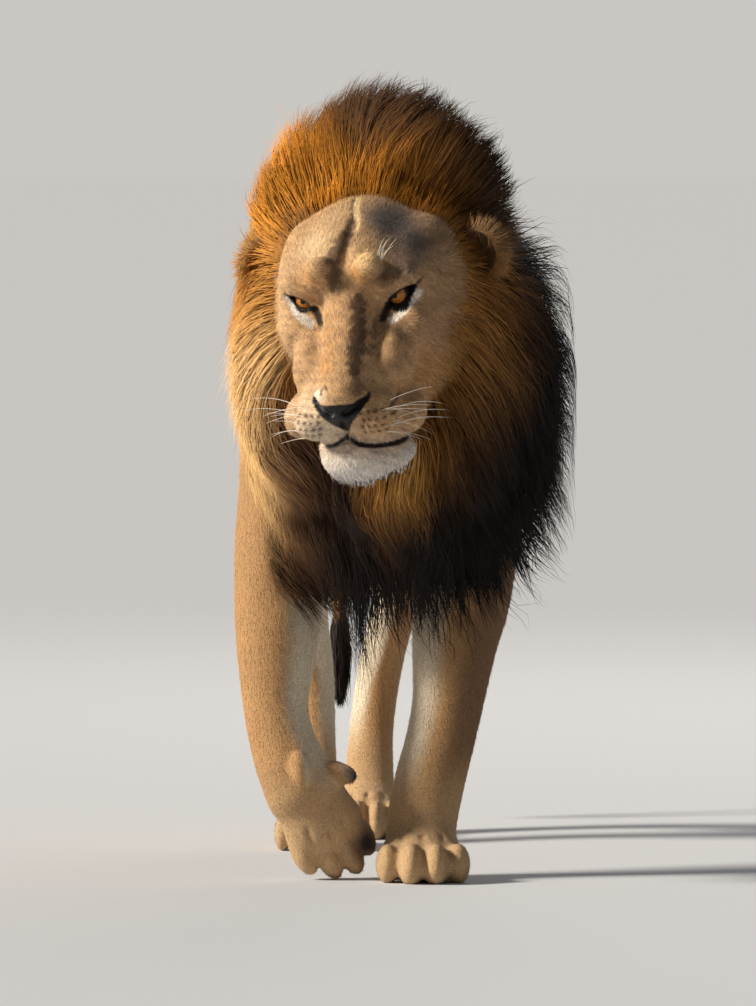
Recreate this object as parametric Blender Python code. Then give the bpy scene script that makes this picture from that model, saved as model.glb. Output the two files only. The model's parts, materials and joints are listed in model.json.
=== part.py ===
"""A life-size male lion, walking: the solids of a still museum model.

Frame: metres, +Z up, the lion faces -Y and its left side is +X; the floor is Z = 0.
Modelling starts with the planted front paw at Y = 0, and the last step moves the
whole to the middle of its box. Every form has its outer size, tips of the coat
included.

Each region is a smooth union of named forms, held as a distance field on a grid and
skinned. Thin cuts then part the regions into the named pieces.
"""

import math

import bmesh
import bpy
import numpy as np
from mathutils import Matrix, Vector

# ---------------------------------------------------------------- driving sizes
GAP = 0.0006  # between neighbouring pieces
CUT_REACH = 2.0  # cutters run past the animal by this much
TRUNK_DRIFT = 0.045  # the midline leans to the right by this much per metre of length

EYE_LINE = (-0.033, -0.450, 0.840)  # midway between the eyes
HEAD_YAW, HEAD_PITCH, HEAD_ROLL = -11.5, 16.5, -4.3  # degrees
MOUTH_SHIFT = 0.005  # lips and chin sit this far to the left of the midline
EYE_SEAT = (0.066, 0.016, 0.000)  # left eye, in the head's own frame
EYE_RADIUS = 0.0185

HEAD_GRID, MANE_GRID, BODY_GRID, LEG_GRID, EAR_GRID = 0.004, 0.010, 0.010, 0.005, 0.003
HEAD_FACES, MANE_FACES, BODY_FACES, LEG_FACES, EAR_FACES = 1300, 520, 700, 370, 130
TAIL_FACES = 220
LEG_CUT = 0.485  # height at which the legs are parted from shoulders and thighs
WRIST_CUT, HOCK_CUT = 0.165, 0.235

COAT = {  # colour, roughness
    "coat_tawny": ((0.52, 0.34, 0.18), 0.85),
    "coat_pale": ((0.74, 0.64, 0.50), 0.85),
    "mane_gold": ((0.48, 0.24, 0.07), 0.8),
    "mane_dark": ((0.06, 0.035, 0.02), 0.8),
    "nose_skin": ((0.07, 0.045, 0.04), 0.5),
    "eye_amber": ((0.45, 0.22, 0.05), 0.15),
}


# ---------------------------------------------------------------- forms as distance fields
def turned(degrees):
    """Rotation about X, then Y, then Z."""
    x, y, z = (math.radians(angle) for angle in degrees)
    return (
        Matrix.Rotation(z, 4, "Z")
        @ Matrix.Rotation(y, 4, "Y")
        @ Matrix.Rotation(x, 4, "X")
    )


def placed(centre, turn=(0, 0, 0)):
    return Matrix.Translation(centre) @ turned(turn)


class Field:
    """Distance to a growing smooth union of forms, sampled on a grid."""

    def __init__(self, low, high, step):
        self.low, self.step = np.array(low, float), step
        counts = np.ceil((np.array(high) - self.low) / step).astype(int) + 1
        self.axes = [self.low[i] + step * np.arange(counts[i]) for i in range(3)]
        self.value = np.ones(counts)

    def near(self, centre, reach):
        """The grid block within reach of centre, and its points relative to centre."""
        block = tuple(
            slice(*np.searchsorted(axis, (middle - reach, middle + reach)))
            for axis, middle in zip(self.axes, centre)
        )
        axes = [axis[part] - middle for axis, part, middle in zip(self.axes, block, centre)]
        return block, np.stack(np.meshgrid(*axes, indexing="ij"), axis=-1)

    def join(self, block, distance, blend):
        old = self.value[block]
        ease = np.maximum(blend - np.abs(old - distance), 0) / blend
        self.value[block] = np.minimum(old, distance) - ease**2 * blend / 4

    def carve(self, block, distance, blend):
        old = self.value[block]
        ease = np.maximum(blend - np.abs(old + distance), 0) / blend
        self.value[block] = np.maximum(old, -distance) + ease**2 * blend / 4

    def ellipsoid(self, place, radii, blend, carve=False):
        reach = max(radii) + 2 * blend + 2 * self.step
        block, points = self.near(place.translation, reach)
        own = points @ np.array(place.to_3x3())
        distance = ellipsoid_distance(own, np.array(radii))
        (self.carve if carve else self.join)(block, distance, blend)

    def limb(self, stations, blend, place=Matrix.Identity(4)):
        """A tube through stations (x, y, z, half width across, half depth)."""
        rows = [(place @ Vector(row[:3]), row[3], row[4]) for row in eased(stations)]
        tube = Field.__new__(Field)
        tube.axes, tube.value = self.axes, np.ones_like(self.value)
        for (a, wide_a, deep_a), (b, wide_b, deep_b) in zip(rows, rows[1:]):
            along = b - a
            length = along.length
            reach = length / 2 + max(wide_a, deep_a, wide_b, deep_b) + 2 * blend + 2 * self.step
            block, points = tube.near((a + b) / 2, reach)
            along.normalize()
            across = place.to_3x3() @ Vector((1, 0, 0))
            across = (across - along * across.dot(along)).normalized()
            own = points @ np.array((across, along.cross(across), along)).T
            share = np.clip(own[..., 2] / length + 0.5, 0, 1)
            own[..., 2] -= (share - 0.5) * length
            wide = wide_a + (wide_b - wide_a) * share
            deep = deep_a + (deep_b - deep_a) * share
            radii = np.stack([wide, deep, np.minimum(wide, deep)], axis=-1)
            distance = ellipsoid_distance(own, radii)
            tube.value[block] = np.minimum(tube.value[block], distance)
        self.join(..., tube.value, blend)


def ellipsoid_distance(points, radii):
    near = np.sqrt(((points / radii) ** 2).sum(axis=-1)) + 1e-9
    steep = np.sqrt(((points / radii**2) ** 2).sum(axis=-1)) + 1e-9
    return near * (near - 1) / steep


def eased(stations, steps=4):
    """Extra stations between the given ones, on a smooth curve."""
    rows = np.array(stations, float)
    rows = np.vstack([2 * rows[0] - rows[1], rows, 2 * rows[-1] - rows[-2]])
    found = []
    for before, start, end, after in zip(rows, rows[1:], rows[2:], rows[3:]):
        rise, fall = (end - before) / 2, (after - start) / 2
        for t in np.arange(steps) / steps:
            found.append(
                start * (2 * t**3 - 3 * t**2 + 1)
                + rise * (t**3 - 2 * t**2 + t)
                + end * (3 * t**2 - 2 * t**3)
                + fall * (t**3 - t**2)
            )
    return [tuple(map(float, row)) for row in [*found, rows[-2]]]


# ---------------------------------------------------------------- fields to meshes
def skin_of(field, name):
    """A closed mesh at distance 0: one vertex in each cell that the surface crosses."""
    value = np.full_like(field.value, field.step)  # the grid's own border is outside
    value[1:-1, 1:-1, 1:-1] = field.value[1:-1, 1:-1, 1:-1]
    cells = tuple(np.array(value.shape) - 1)
    crossings, owners, quads = [], [], []
    for axis in range(3):
        u, v = (axis + 1) % 3, (axis + 2) % 3
        first = np.take(value, range(value.shape[axis] - 1), axis=axis)
        last = np.take(value, range(1, value.shape[axis]), axis=axis)
        at = np.argwhere((first < 0) != (last < 0))
        start, end = first[tuple(at.T)], last[tuple(at.T)]
        point = at.astype(float)
        point[:, axis] += start / (start - end)
        corners = []
        for back_u, back_v in ((0, 0), (1, 0), (1, 1), (0, 1)):
            cell = at.copy()
            cell[:, u] -= back_u
            cell[:, v] -= back_v
            corners.append(np.ravel_multi_index(tuple(cell.T), cells))
            crossings.append(point)
            owners.append(corners[-1])
        quad = np.stack(corners, axis=1)
        inward = end < 0
        quad[inward] = quad[inward][:, ::-1]
        quads.append(quad)
    crossings, owners, quads = map(np.concatenate, (crossings, owners, quads))
    used, index = np.unique(owners, return_inverse=True)
    index = index.reshape(-1)
    counts = np.bincount(index)
    spots = np.stack([np.bincount(index, crossings[:, i]) / counts for i in range(3)], axis=1)
    mesh = bpy.data.meshes.new(name)
    mesh.from_pydata(
        (field.low + spots * field.step).tolist(), [], np.searchsorted(used, quads).tolist()
    )
    return linked(name, mesh)


def linked(name, mesh):
    made = bpy.data.objects.new(name, mesh)
    bpy.context.scene.collection.objects.link(made)
    return made


def apply_modifiers(target):
    bpy.context.view_layer.update()
    graph = bpy.context.evaluated_depsgraph_get()
    mesh = bpy.data.meshes.new_from_object(target.evaluated_get(graph))
    target.modifiers.clear()
    target.data = mesh
    return target


def reduced(target, faces, voxel):
    """Fewer faces; the voxel pass first opens any pinched edge."""
    remesh = target.modifiers.new("remesh", "REMESH")
    remesh.mode = "VOXEL"
    remesh.voxel_size = voxel
    apply_modifiers(target)
    reduce = target.modifiers.new("reduce", "DECIMATE")
    reduce.ratio = faces / sum(len(p.vertices) - 2 for p in target.data.polygons)
    reduce.use_collapse_triangulate = True
    return apply_modifiers(target)


def copy_of(source, name):
    return linked(name, source.data.copy())


def boolean(target, cutter, operation, keep_cutter=False):
    modifier = target.modifiers.new("cut", "BOOLEAN")
    modifier.operation = operation
    modifier.solver = "EXACT"
    modifier.object = cutter
    apply_modifiers(target)
    if not keep_cutter:
        bpy.data.objects.remove(cutter)
    return target


def grown(source, distance=GAP):
    """A copy standing proud by distance, which cuts a neighbour with a gap."""
    made = copy_of(source, "grown")
    swell = made.modifiers.new("swell", "DISPLACE")
    swell.mid_level = 0.0
    swell.strength = distance
    return apply_modifiers(made)


def box(low, high, place=Matrix.Identity(4)):
    bm = bmesh.new()
    bmesh.ops.create_cube(bm, size=1.0)
    low, high = Vector(low), Vector(high)
    size = Matrix.Diagonal((*(high - low), 1.0))
    bmesh.ops.transform(
        bm, matrix=place @ Matrix.Translation((low + high) / 2) @ size, verts=bm.verts
    )
    mesh = bpy.data.meshes.new("box")
    bm.to_mesh(mesh)
    bm.free()
    return linked("box", mesh)


def sphere(centre, radius, detail=2):
    bm = bmesh.new()
    bmesh.ops.create_icosphere(bm, subdivisions=detail, radius=radius)
    bmesh.ops.translate(bm, vec=centre, verts=bm.verts)
    mesh = bpy.data.meshes.new("sphere")
    bm.to_mesh(mesh)
    bm.free()
    return linked("sphere", mesh)


def material(name):
    found = bpy.data.materials.get(name)
    if found:
        return found
    colour, roughness = COAT[name]
    made = bpy.data.materials.new(name)
    made.use_nodes = True
    shader = made.node_tree.nodes["Principled BSDF"]
    shader.inputs["Base Color"].default_value = (*colour, 1.0)
    shader.inputs["Roughness"].default_value = roughness
    return made


def finish(piece, name, finish_name):
    piece.name = name
    piece.data.name = name
    piece.data.materials.clear()
    piece.data.materials.append(material(finish_name))
    piece.data.shade_smooth()
    piece.data.set_sharp_from_angle(angle=math.radians(50))
    return piece


def part_off(whole, name, finish_name, cell):
    """Makes the part of whole inside cell its own piece, with a gap round it."""
    piece = copy_of(whole, name)
    boolean(piece, cell, "INTERSECT", keep_cutter=True)
    boolean(whole, grown(cell), "DIFFERENCE")
    bpy.data.objects.remove(cell)
    return finish(piece, name, finish_name)


# ---------------------------------------------------------------- the head
HEAD = (
    Matrix.Translation(EYE_LINE)
    @ Matrix.Rotation(math.radians(HEAD_YAW), 4, "Z")
    @ Matrix.Rotation(math.radians(HEAD_PITCH), 4, "X")
    @ Matrix.Rotation(math.radians(HEAD_ROLL), 4, "Y")
)
# In the head's own frame: origin between the eyes, -Y towards the nose.
# Each form: centre, radii, turn, and how softly it blends with the rest.
HEAD_MIDDLE = {
    "cranium": ((0, 0.115, 0.015), (0.100, 0.120, 0.096), (0, 0, 0), 0.03),
    "forehead": ((0, 0.044, 0.028), (0.084, 0.062, 0.064), (0, 0, 0), 0.03),
    "muzzle": ((0, -0.070, -0.106), (0.062, 0.090, 0.050), (8, 0, 0), 0.03),
    "nose": ((0, -0.156, -0.106), (0.034, 0.018, 0.026), (20, 0, 0), 0.012),
    "chin": ((MOUTH_SHIFT + 0.004, -0.112, -0.190), (0.054, 0.046, 0.034), (0, 0, 0), 0.02),
    "lower_lip": ((MOUTH_SHIFT, -0.096, -0.166), (0.050, 0.048, 0.020), (0, 0, 0), 0.012),
    "throat": ((0, 0.090, -0.120), (0.088, 0.110, 0.085), (0, 0, 0), 0.04),
}
HEAD_SIDES = {
    "brow": ((0.046, 0.008, 0.030), (0.036, 0.026, 0.017), (0, 12, 14), 0.02),
    "temple": ((0.074, 0.055, 0.012), (0.032, 0.056, 0.052), (0, 0, 10), 0.03),
    "cheekbone": ((0.073, 0.036, -0.038), (0.034, 0.066, 0.036), (0, 0, 16), 0.03),
    "jaw_muscle": ((0.073, 0.095, -0.080), (0.049, 0.080, 0.078), (0, 0, 0), 0.04),
    "cheek": ((0.047, -0.020, -0.082), (0.037, 0.070, 0.048), (0, 0, 14), 0.03),
    "lip_pad": ((0.037, -0.110, -0.126), (0.039, 0.058, 0.036), (6, 0, 10), 0.014),
}
NOSE_BRIDGE = [  # x, y, z, half width, half depth
    (0, 0.010, -0.010, 0.042, 0.044),
    (0, -0.040, -0.040, 0.041, 0.040),
    (0, -0.095, -0.070, 0.040, 0.036),
    (0, -0.142, -0.092, 0.034, 0.028),
]
JAW = [
    (MOUTH_SHIFT, -0.088, -0.180, 0.050, 0.036),
    (0, -0.030, -0.168, 0.064, 0.048),
    (0, 0.050, -0.140, 0.088, 0.066),
]
SOCKET = ((0.072, -0.014, -0.002), (0.026, 0.020, 0.013), (0, -14, 30))
EAR_SEAT = (0.150, 0.170, 0.004)
EAR_RADII = (0.042, 0.022, 0.047)
EAR_TURN = (-10, 52, -26)
EAR_CUP = ((0, -0.024, 0.004), (0.033, 0.030, 0.036))


def on_side(sign, centre, turn):
    """A left-side form's place, mirrored to the right when sign is -1."""
    return placed((sign * centre[0], *centre[1:]), (turn[0], sign * turn[1], sign * turn[2]))


def head_field():
    field = Field((-0.24, -0.70, 0.53), (0.20, -0.18, 1.05), HEAD_GRID)
    for centre, radii, turn, blend in HEAD_MIDDLE.values():
        field.ellipsoid(HEAD @ placed(centre, turn), radii, blend)
    field.limb(NOSE_BRIDGE, 0.02, HEAD)
    field.limb(JAW, 0.03, HEAD)
    for sign in (1, -1):
        for centre, radii, turn, blend in HEAD_SIDES.values():
            field.ellipsoid(HEAD @ on_side(sign, centre, turn), radii, blend)
        centre, radii, turn = SOCKET
        field.ellipsoid(HEAD @ on_side(sign, centre, turn), radii, 0.008, carve=True)
    return field


def make_head():
    head = reduced(skin_of(head_field(), "head"), HEAD_FACES, HEAD_GRID)
    for sign, side in ((1, "left"), (-1, "right")):
        eye = sphere(HEAD @ Vector((sign * EYE_SEAT[0], *EYE_SEAT[1:])), EYE_RADIUS)
        boolean(head, grown(eye), "DIFFERENCE")
        finish(eye, f"eye_{side}", "eye_amber")
    return head


def make_ear(sign, side):
    place = HEAD @ on_side(sign, EAR_SEAT, EAR_TURN)
    seat = place.translation
    field = Field([c - 0.08 for c in seat], [c + 0.08 for c in seat], EAR_GRID)
    field.ellipsoid(place, EAR_RADII, 0.01)
    centre, radii = EAR_CUP
    field.ellipsoid(place @ placed(centre), radii, 0.004, carve=True)
    ear = reduced(skin_of(field, "ear"), EAR_FACES, EAR_GRID)
    return finish(ear, f"ear_{side}", "coat_tawny")


# ---------------------------------------------------------------- the mane
MANE = {  # centre, radii, turn
    "crest_right": ((-0.080, -0.240, 0.960), (0.105, 0.100, 0.120), (0, -14, 0)),
    "crest_top": ((0.015, -0.225, 1.000), (0.125, 0.110, 0.140), (0, 0, 0)),
    "crest_left": ((0.095, -0.225, 0.965), (0.100, 0.110, 0.120), (0, 14, 0)),
    "cheek_right": ((-0.110, -0.225, 0.760), (0.095, 0.150, 0.190), (0, 0, 0)),
    "cheek_left": ((0.110, -0.225, 0.770), (0.130, 0.150, 0.190), (0, 0, 0)),
    "side_left": ((0.170, -0.130, 0.700), (0.100, 0.130, 0.230), (0, 0, 0)),
    "ruff_right": ((-0.125, -0.310, 0.700), (0.070, 0.110, 0.150), (0, 0, 0)),
    "ruff_left": ((0.120, -0.300, 0.700), (0.085, 0.110, 0.160), (0, 0, 0)),
    "beard": ((0.025, -0.345, 0.610), (0.115, 0.115, 0.110), (0, 0, 0)),
    "bib": ((0.030, -0.170, 0.570), (0.185, 0.140, 0.140), (0, 0, 0)),
    "chest": ((0.050, -0.135, 0.475), (0.125, 0.100, 0.090), (0, 0, 0)),
    "collar": ((-0.095, -0.080, 0.660), (0.098, 0.130, 0.155), (0, 0, 0)),
    "nape": ((0.005, -0.020, 0.945), (0.150, 0.220, 0.175), (0, 0, 0)),
    "withers": ((0.000, 0.140, 0.960), (0.110, 0.180, 0.110), (0, 0, 0)),
    "neck": ((0.010, -0.060, 0.780), (0.185, 0.220, 0.220), (0, 0, 0)),
    "drape_left": ((0.125, 0.020, 0.790), (0.095, 0.150, 0.200), (0, 0, 0)),
    "drape_right": ((-0.115, 0.020, 0.790), (0.090, 0.150, 0.190), (0, 0, 0)),
}
MANE_BLEND = 0.05
RIB_DROP, SPINE_DROP = 0.06, 0.10  # ribs and the narrower spine above them, below the top line
SPINE_SHARE = 0.56  # of the ribs' width
SPINE_BLEND = 0.06


def make_mane():
    field = Field((-0.34, -0.60, 0.26), (0.40, 0.44, 1.30), MANE_GRID)
    for centre, radii, turn in MANE.values():
        field.ellipsoid(placed(centre, turn), radii, MANE_BLEND)
    return reduced(skin_of(field, "mane"), MANE_FACES, MANE_GRID)


# ---------------------------------------------------------------- trunk, legs and tail
TRUNK = [  # y, top, bottom, half width
    (-0.060, 0.920, 0.660, 0.115),
    (0.030, 1.030, 0.565, 0.155),
    (0.180, 1.070, 0.535, 0.175),
    (0.360, 1.050, 0.530, 0.184),
    (0.540, 1.028, 0.555, 0.180),
    (0.720, 1.022, 0.610, 0.166),
    (0.880, 1.035, 0.690, 0.160),
    (1.000, 1.020, 0.760, 0.135),
]
FORE_LEFT = [  # x, y, z, half width, half depth
    (0.095, 0.100, 0.960, 0.045, 0.080),
    (0.125, 0.030, 0.840, 0.064, 0.115),
    (0.142, -0.020, 0.700, 0.070, 0.120),
    (0.144, 0.030, 0.560, 0.070, 0.112),
    (0.139, 0.045, 0.480, 0.072, 0.092),
    (0.125, 0.035, 0.400, 0.075, 0.072),
    (0.114, 0.015, 0.335, 0.067, 0.060),
    (0.105, 0.000, 0.255, 0.057, 0.050),
    (0.093, -0.005, 0.195, 0.055, 0.045),
    (0.079, -0.005, 0.140, 0.056, 0.047),
    (0.067, -0.018, 0.080, 0.056, 0.048),
    (0.066, -0.035, 0.040, 0.056, 0.050),
]
FORE_RIGHT = [
    (-0.090, 0.070, 0.960, 0.045, 0.080),
    (-0.116, -0.010, 0.840, 0.062, 0.115),
    (-0.128, -0.060, 0.700, 0.066, 0.120),
    (-0.134, -0.010, 0.560, 0.066, 0.110),
    (-0.138, 0.002, 0.480, 0.068, 0.092),
    (-0.138, -0.010, 0.400, 0.069, 0.070),
    (-0.140, -0.030, 0.335, 0.064, 0.060),
    (-0.142, -0.048, 0.255, 0.053, 0.048),
    (-0.134, -0.062, 0.205, 0.052, 0.044),
    (-0.120, -0.072, 0.165, 0.056, 0.046),
    (-0.105, -0.076, 0.135, 0.056, 0.042),
]
HIND_LEFT = [
    (0.045, 0.950, 0.930, 0.060, 0.105),
    (0.066, 0.905, 0.800, 0.080, 0.150),
    (0.076, 0.850, 0.670, 0.078, 0.155),
    (0.069, 0.815, 0.560, 0.066, 0.125),
    (0.052, 0.830, 0.440, 0.051, 0.086),
    (0.027, 0.885, 0.330, 0.039, 0.056),
    (0.008, 0.930, 0.245, 0.038, 0.046),
    (-0.004, 0.915, 0.165, 0.038, 0.037),
    (-0.008, 0.880, 0.100, 0.041, 0.036),
    (-0.008, 0.850, 0.055, 0.044, 0.040),
]
HIND_RIGHT = [
    (-0.125, 0.940, 0.930, 0.058, 0.105),
    (-0.136, 0.870, 0.800, 0.074, 0.150),
    (-0.135, 0.775, 0.670, 0.072, 0.150),
    (-0.129, 0.715, 0.560, 0.063, 0.122),
    (-0.119, 0.700, 0.440, 0.050, 0.084),
    (-0.104, 0.712, 0.330, 0.040, 0.055),
    (-0.093, 0.725, 0.245, 0.038, 0.046),
    (-0.090, 0.685, 0.165, 0.037, 0.037),
    (-0.090, 0.635, 0.100, 0.040, 0.036),
    (-0.090, 0.595, 0.050, 0.044, 0.040),
]
TAIL = [
    (-0.046, 1.060, 0.985, 0.040, 0.040),
    (-0.049, 1.150, 0.955, 0.030, 0.030),
    (-0.052, 1.225, 0.860, 0.024, 0.024),
    (-0.054, 1.245, 0.700, 0.021, 0.021),
    (-0.054, 1.225, 0.520, 0.018, 0.018),
    (-0.054, 1.180, 0.370, 0.017, 0.017),
]
TAIL_TUFT = [
    (-0.054, 1.180, 0.350, 0.018, 0.018),
    (-0.054, 1.158, 0.290, 0.024, 0.026),
    (-0.053, 1.140, 0.235, 0.023, 0.026),
    (-0.053, 1.128, 0.190, 0.010, 0.010),
]
TUFT_CUT = 0.330
TOES = ((-0.72, 0.50, 0.92), (-0.26, 0.66, 1.0), (0.24, 0.68, 1.0), (0.70, 0.53, 0.95))
CARPAL_PAD = ((-0.056, -0.078, 0.155), (0.034, 0.022, 0.019), (0, 14, 0))
DEWCLAW = ((-0.106, -0.112, 0.162), (0.017, 0.017, 0.028), (0, -10, 0))
HANGING_TOES = ((-0.044, 0.116), (-0.015, 0.138), (0.015, 0.146), (0.042, 0.130))


def planted_paw(field, x, y, width, length, turn):
    """A paw flat on the floor: a broad pad with four toes in front."""
    paw = placed((x, y, 0), (0, 0, turn))
    half = width / 2
    field.ellipsoid(paw @ placed((0, -0.22 * length, 0.034)), (0.84 * half, 0.40 * length, 0.040), 0.02)
    field.ellipsoid(paw @ placed((0, 0.06 * length, 0.026)), (0.66 * half, 0.26 * length, 0.034), 0.02)
    for across, reach, size in TOES:
        field.ellipsoid(
            paw @ placed((across * half, -reach * length, 0.026)),
            (0.30 * half * size, 0.25 * length * size, 0.034 * size),
            0.008,
        )


def hanging_paw(field, wrist, axis, across):
    """The flexed paw: it hangs from the wrist along axis and ends at the floor."""
    axis = Vector(axis).normalized()
    across = Vector(across)
    across = (across - axis * across.dot(axis)).normalized()
    columns = Matrix((across, across.cross(axis), -axis)).transposed()
    paw = Matrix.Translation(wrist) @ columns.to_4x4()
    field.ellipsoid(paw @ placed((-0.002, 0, -0.045)), (0.056, 0.038, 0.062), 0.02)
    field.ellipsoid(paw @ placed((0, 0, -0.092)), (0.060, 0.036, 0.044), 0.02)
    for offset, reach in HANGING_TOES:
        field.ellipsoid(paw @ placed((offset, 0.004, -reach), (12, 0, 0)), (0.020, 0.027, 0.036), 0.008)
    for centre, radii, turn in (CARPAL_PAD, DEWCLAW):
        field.ellipsoid(placed(centre, turn), radii, 0.008)


def trunk_stations():
    """Stations of the ribs, and of the narrower spine that rides on them."""
    ribs, spine = [], []
    for y, top, low, half in TRUNK:
        x = -TRUNK_DRIFT * max(y, 0)
        crown = top - RIB_DROP
        ribs.append((x, y, (crown + low) / 2, half, (crown - low) / 2))
        spine.append((x, y, top - SPINE_DROP, half * SPINE_SHARE, SPINE_DROP))
    return ribs, spine


def make_body():
    field = Field((-0.34, -0.36, 0.30), (0.36, 1.30, 1.20), BODY_GRID)
    ribs, spine = trunk_stations()
    field.limb(ribs, 0.03)
    field.limb(spine, SPINE_BLEND)
    for stations in (FORE_LEFT, FORE_RIGHT, HIND_LEFT, HIND_RIGHT):
        field.limb([row for row in stations if row[2] > 0.38], 0.03)
    return keep(reduced(skin_of(field, "trunk"), BODY_FACES, BODY_GRID), LEG_CUT, CUT_REACH)


def make_leg(stations, paw, y_low, y_high):
    """The leg below the cut, down to the floor."""
    field = Field((-0.26, y_low, -0.05), (0.26, y_high, 0.62), LEG_GRID)
    field.limb([row for row in stations if row[2] < 0.70], 0.02)
    shape, *sizes = paw
    shape(field, *sizes)
    return keep(reduced(skin_of(field, "leg"), LEG_FACES, LEG_GRID), 0, LEG_CUT - GAP)


def keep(piece, low, high):
    """The piece between two heights."""
    slab = box((-CUT_REACH, -CUT_REACH, low), (CUT_REACH, CUT_REACH, high))
    return boolean(piece, slab, "INTERSECT")


def make_tail():
    tail_field = Field((-0.13, 1.00, 0.14), (0.04, 1.32, 1.08), LEG_GRID)
    tail_field.limb(TAIL, 0.01)
    tail_field.limb(TAIL_TUFT, 0.01)
    return reduced(skin_of(tail_field, "tail"), TAIL_FACES, LEG_GRID)


# ---------------------------------------------------------------- assembly
REACH = CUT_REACH
HEAD_CELLS = {  # in the head's own frame
    "nose": ((-0.045, -0.30, -0.137), (0.045, -0.148, -0.084), "nose_skin"),
    "muzzle": ((-0.20, -0.30, -0.158), (0.20, -0.045, 0.02), "coat_pale"),
    "lower_jaw": ((-0.20, -0.30, -0.40), (0.20, 0.00, -0.158 - GAP), "coat_pale"),
}
MANE_CELLS = {
    "mane_crest": ((-REACH, -REACH, 0.930), (REACH, -0.09, REACH), "mane_gold"),
    "mane_beard": ((-0.100, -REACH, 0.30), (0.130, -0.27, 0.760), "mane_gold"),
    "mane_chest": ((-REACH, -REACH, 0.20), (REACH, REACH, 0.560), "mane_dark"),
    "mane_left": ((0.060, -REACH, 0.20), (REACH, -0.02, 0.930 - GAP), "mane_dark"),
    "mane_right": ((-REACH, -REACH, 0.20), (-0.060, -0.02, 0.930 - GAP), "mane_gold"),
}
TRUNK_CELLS = {
    "shoulder_left": ((0.085, -REACH, 0.30), (REACH, 0.200, 0.80), "coat_tawny"),
    "shoulder_right": ((-REACH, -REACH, 0.30), (-0.085, 0.200, 0.80), "coat_tawny"),
    "thigh_left": ((0.035, 0.630, 0.30), (REACH, 1.040, 0.860), "coat_tawny"),
    "thigh_right": ((-REACH, 0.560, 0.30), (-0.105, 1.040, 0.860), "coat_tawny"),
    "rump": ((-REACH, 0.720, 0.30), (REACH, REACH, REACH), "coat_tawny"),
    "belly": ((-REACH, 0.300, 0.30), (REACH, 0.720 - GAP, 0.700), "coat_pale"),
    "back": ((-REACH, 0.300, 0.700 + GAP), (REACH, 0.720 - GAP, REACH), "coat_tawny"),
}
LEGS = {
    "fore_left": (FORE_LEFT, (planted_paw, 0.066, -0.030, 0.141, 0.150, 2), -0.24, 0.20),
    "fore_right": (
        FORE_RIGHT,
        (hanging_paw, (-0.114, -0.072, 0.160), (0.44, 0.10, -0.88), (0.88, 0.10, 0.44)),
        -0.24,
        0.20,
    ),
    "hind_left": (HIND_LEFT, (planted_paw, -0.008, 0.840, 0.112, 0.135, -2), 0.60, 1.10),
    "hind_right": (HIND_RIGHT, (planted_paw, -0.090, 0.585, 0.112, 0.135, -4), 0.40, 0.95),
}


def part_all(whole, name, finish_name, cells, place=Matrix.Identity(4)):
    """Parts the whole into its cells, and names what is left."""
    for cell_name, (low, high, cell_finish) in cells.items():
        part_off(whole, cell_name, cell_finish, box(low, high, place))
    finish(whole, name, finish_name)


def centred():
    """Moves all pieces so that the middle of the box's bottom is the origin."""
    spots = [v.co for piece in bpy.data.objects for v in piece.data.vertices]
    low, high = (Vector(map(side, *spots)) for side in (min, max))
    move = -Vector(((low.x + high.x) / 2, (low.y + high.y) / 2, low.z))
    for piece in bpy.data.objects:
        piece.data.transform(Matrix.Translation(move))
    print("moved by", [round(c, 4) for c in move])


def main():
    for old in list(bpy.data.objects):
        bpy.data.objects.remove(old)
    head = make_head()
    ears = [make_ear(1, "left"), make_ear(-1, "right")]
    for ear in ears:
        boolean(ear, grown(head), "DIFFERENCE")
    mane = make_mane()
    for inner in (head, *ears):
        boolean(mane, grown(inner), "DIFFERENCE")
    mane_room = grown(mane)
    body = boolean(make_body(), mane_room, "DIFFERENCE", keep_cutter=True)
    tail = make_tail()
    boolean(tail, grown(body), "DIFFERENCE")
    part_all(head, "head", "coat_tawny", HEAD_CELLS, HEAD)
    part_all(mane, "neck", "mane_dark", MANE_CELLS)
    part_all(body, "chest", "coat_tawny", TRUNK_CELLS)
    below = (-REACH, -REACH, -1), (REACH, REACH, TUFT_CUT)
    part_off(tail, "tail_tuft", "mane_dark", box(*below))
    finish(tail, "tail", "coat_tawny")
    for name, (stations, paw, y_low, y_high) in LEGS.items():
        leg = make_leg(stations, paw, y_low, y_high)
        boolean(leg, mane_room, "DIFFERENCE", keep_cutter=True)
        limb, side = name.split("_")
        cut = WRIST_CUT if limb == "fore" else HOCK_CUT
        foot = box((-REACH, -REACH, -1), (REACH, REACH, cut))
        part_off(leg, f"{limb}paw_{side}" if limb == "fore" else f"hindpaw_{side}", "coat_tawny", foot)
        finish(leg, f"{'forearm' if limb == 'fore' else 'shank'}_{side}", "coat_tawny")
    bpy.data.objects.remove(mane_room)
    centred()


main()
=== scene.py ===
"""Looks of a life-size male lion, walking: one skin with a coat of tufts and locks.

Shapes are made in the modelling frame of the solids, with the planted front paw at Y = 0, and moved
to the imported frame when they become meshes. Lengths are metres, except in rows given to metres().
Colours are 8-bit screen colours, turned linear by linear().
"""

import itertools
import json
import math

import bpy
import numpy as np
from mathutils import Matrix, Vector
from mathutils.kdtree import KDTree

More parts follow.
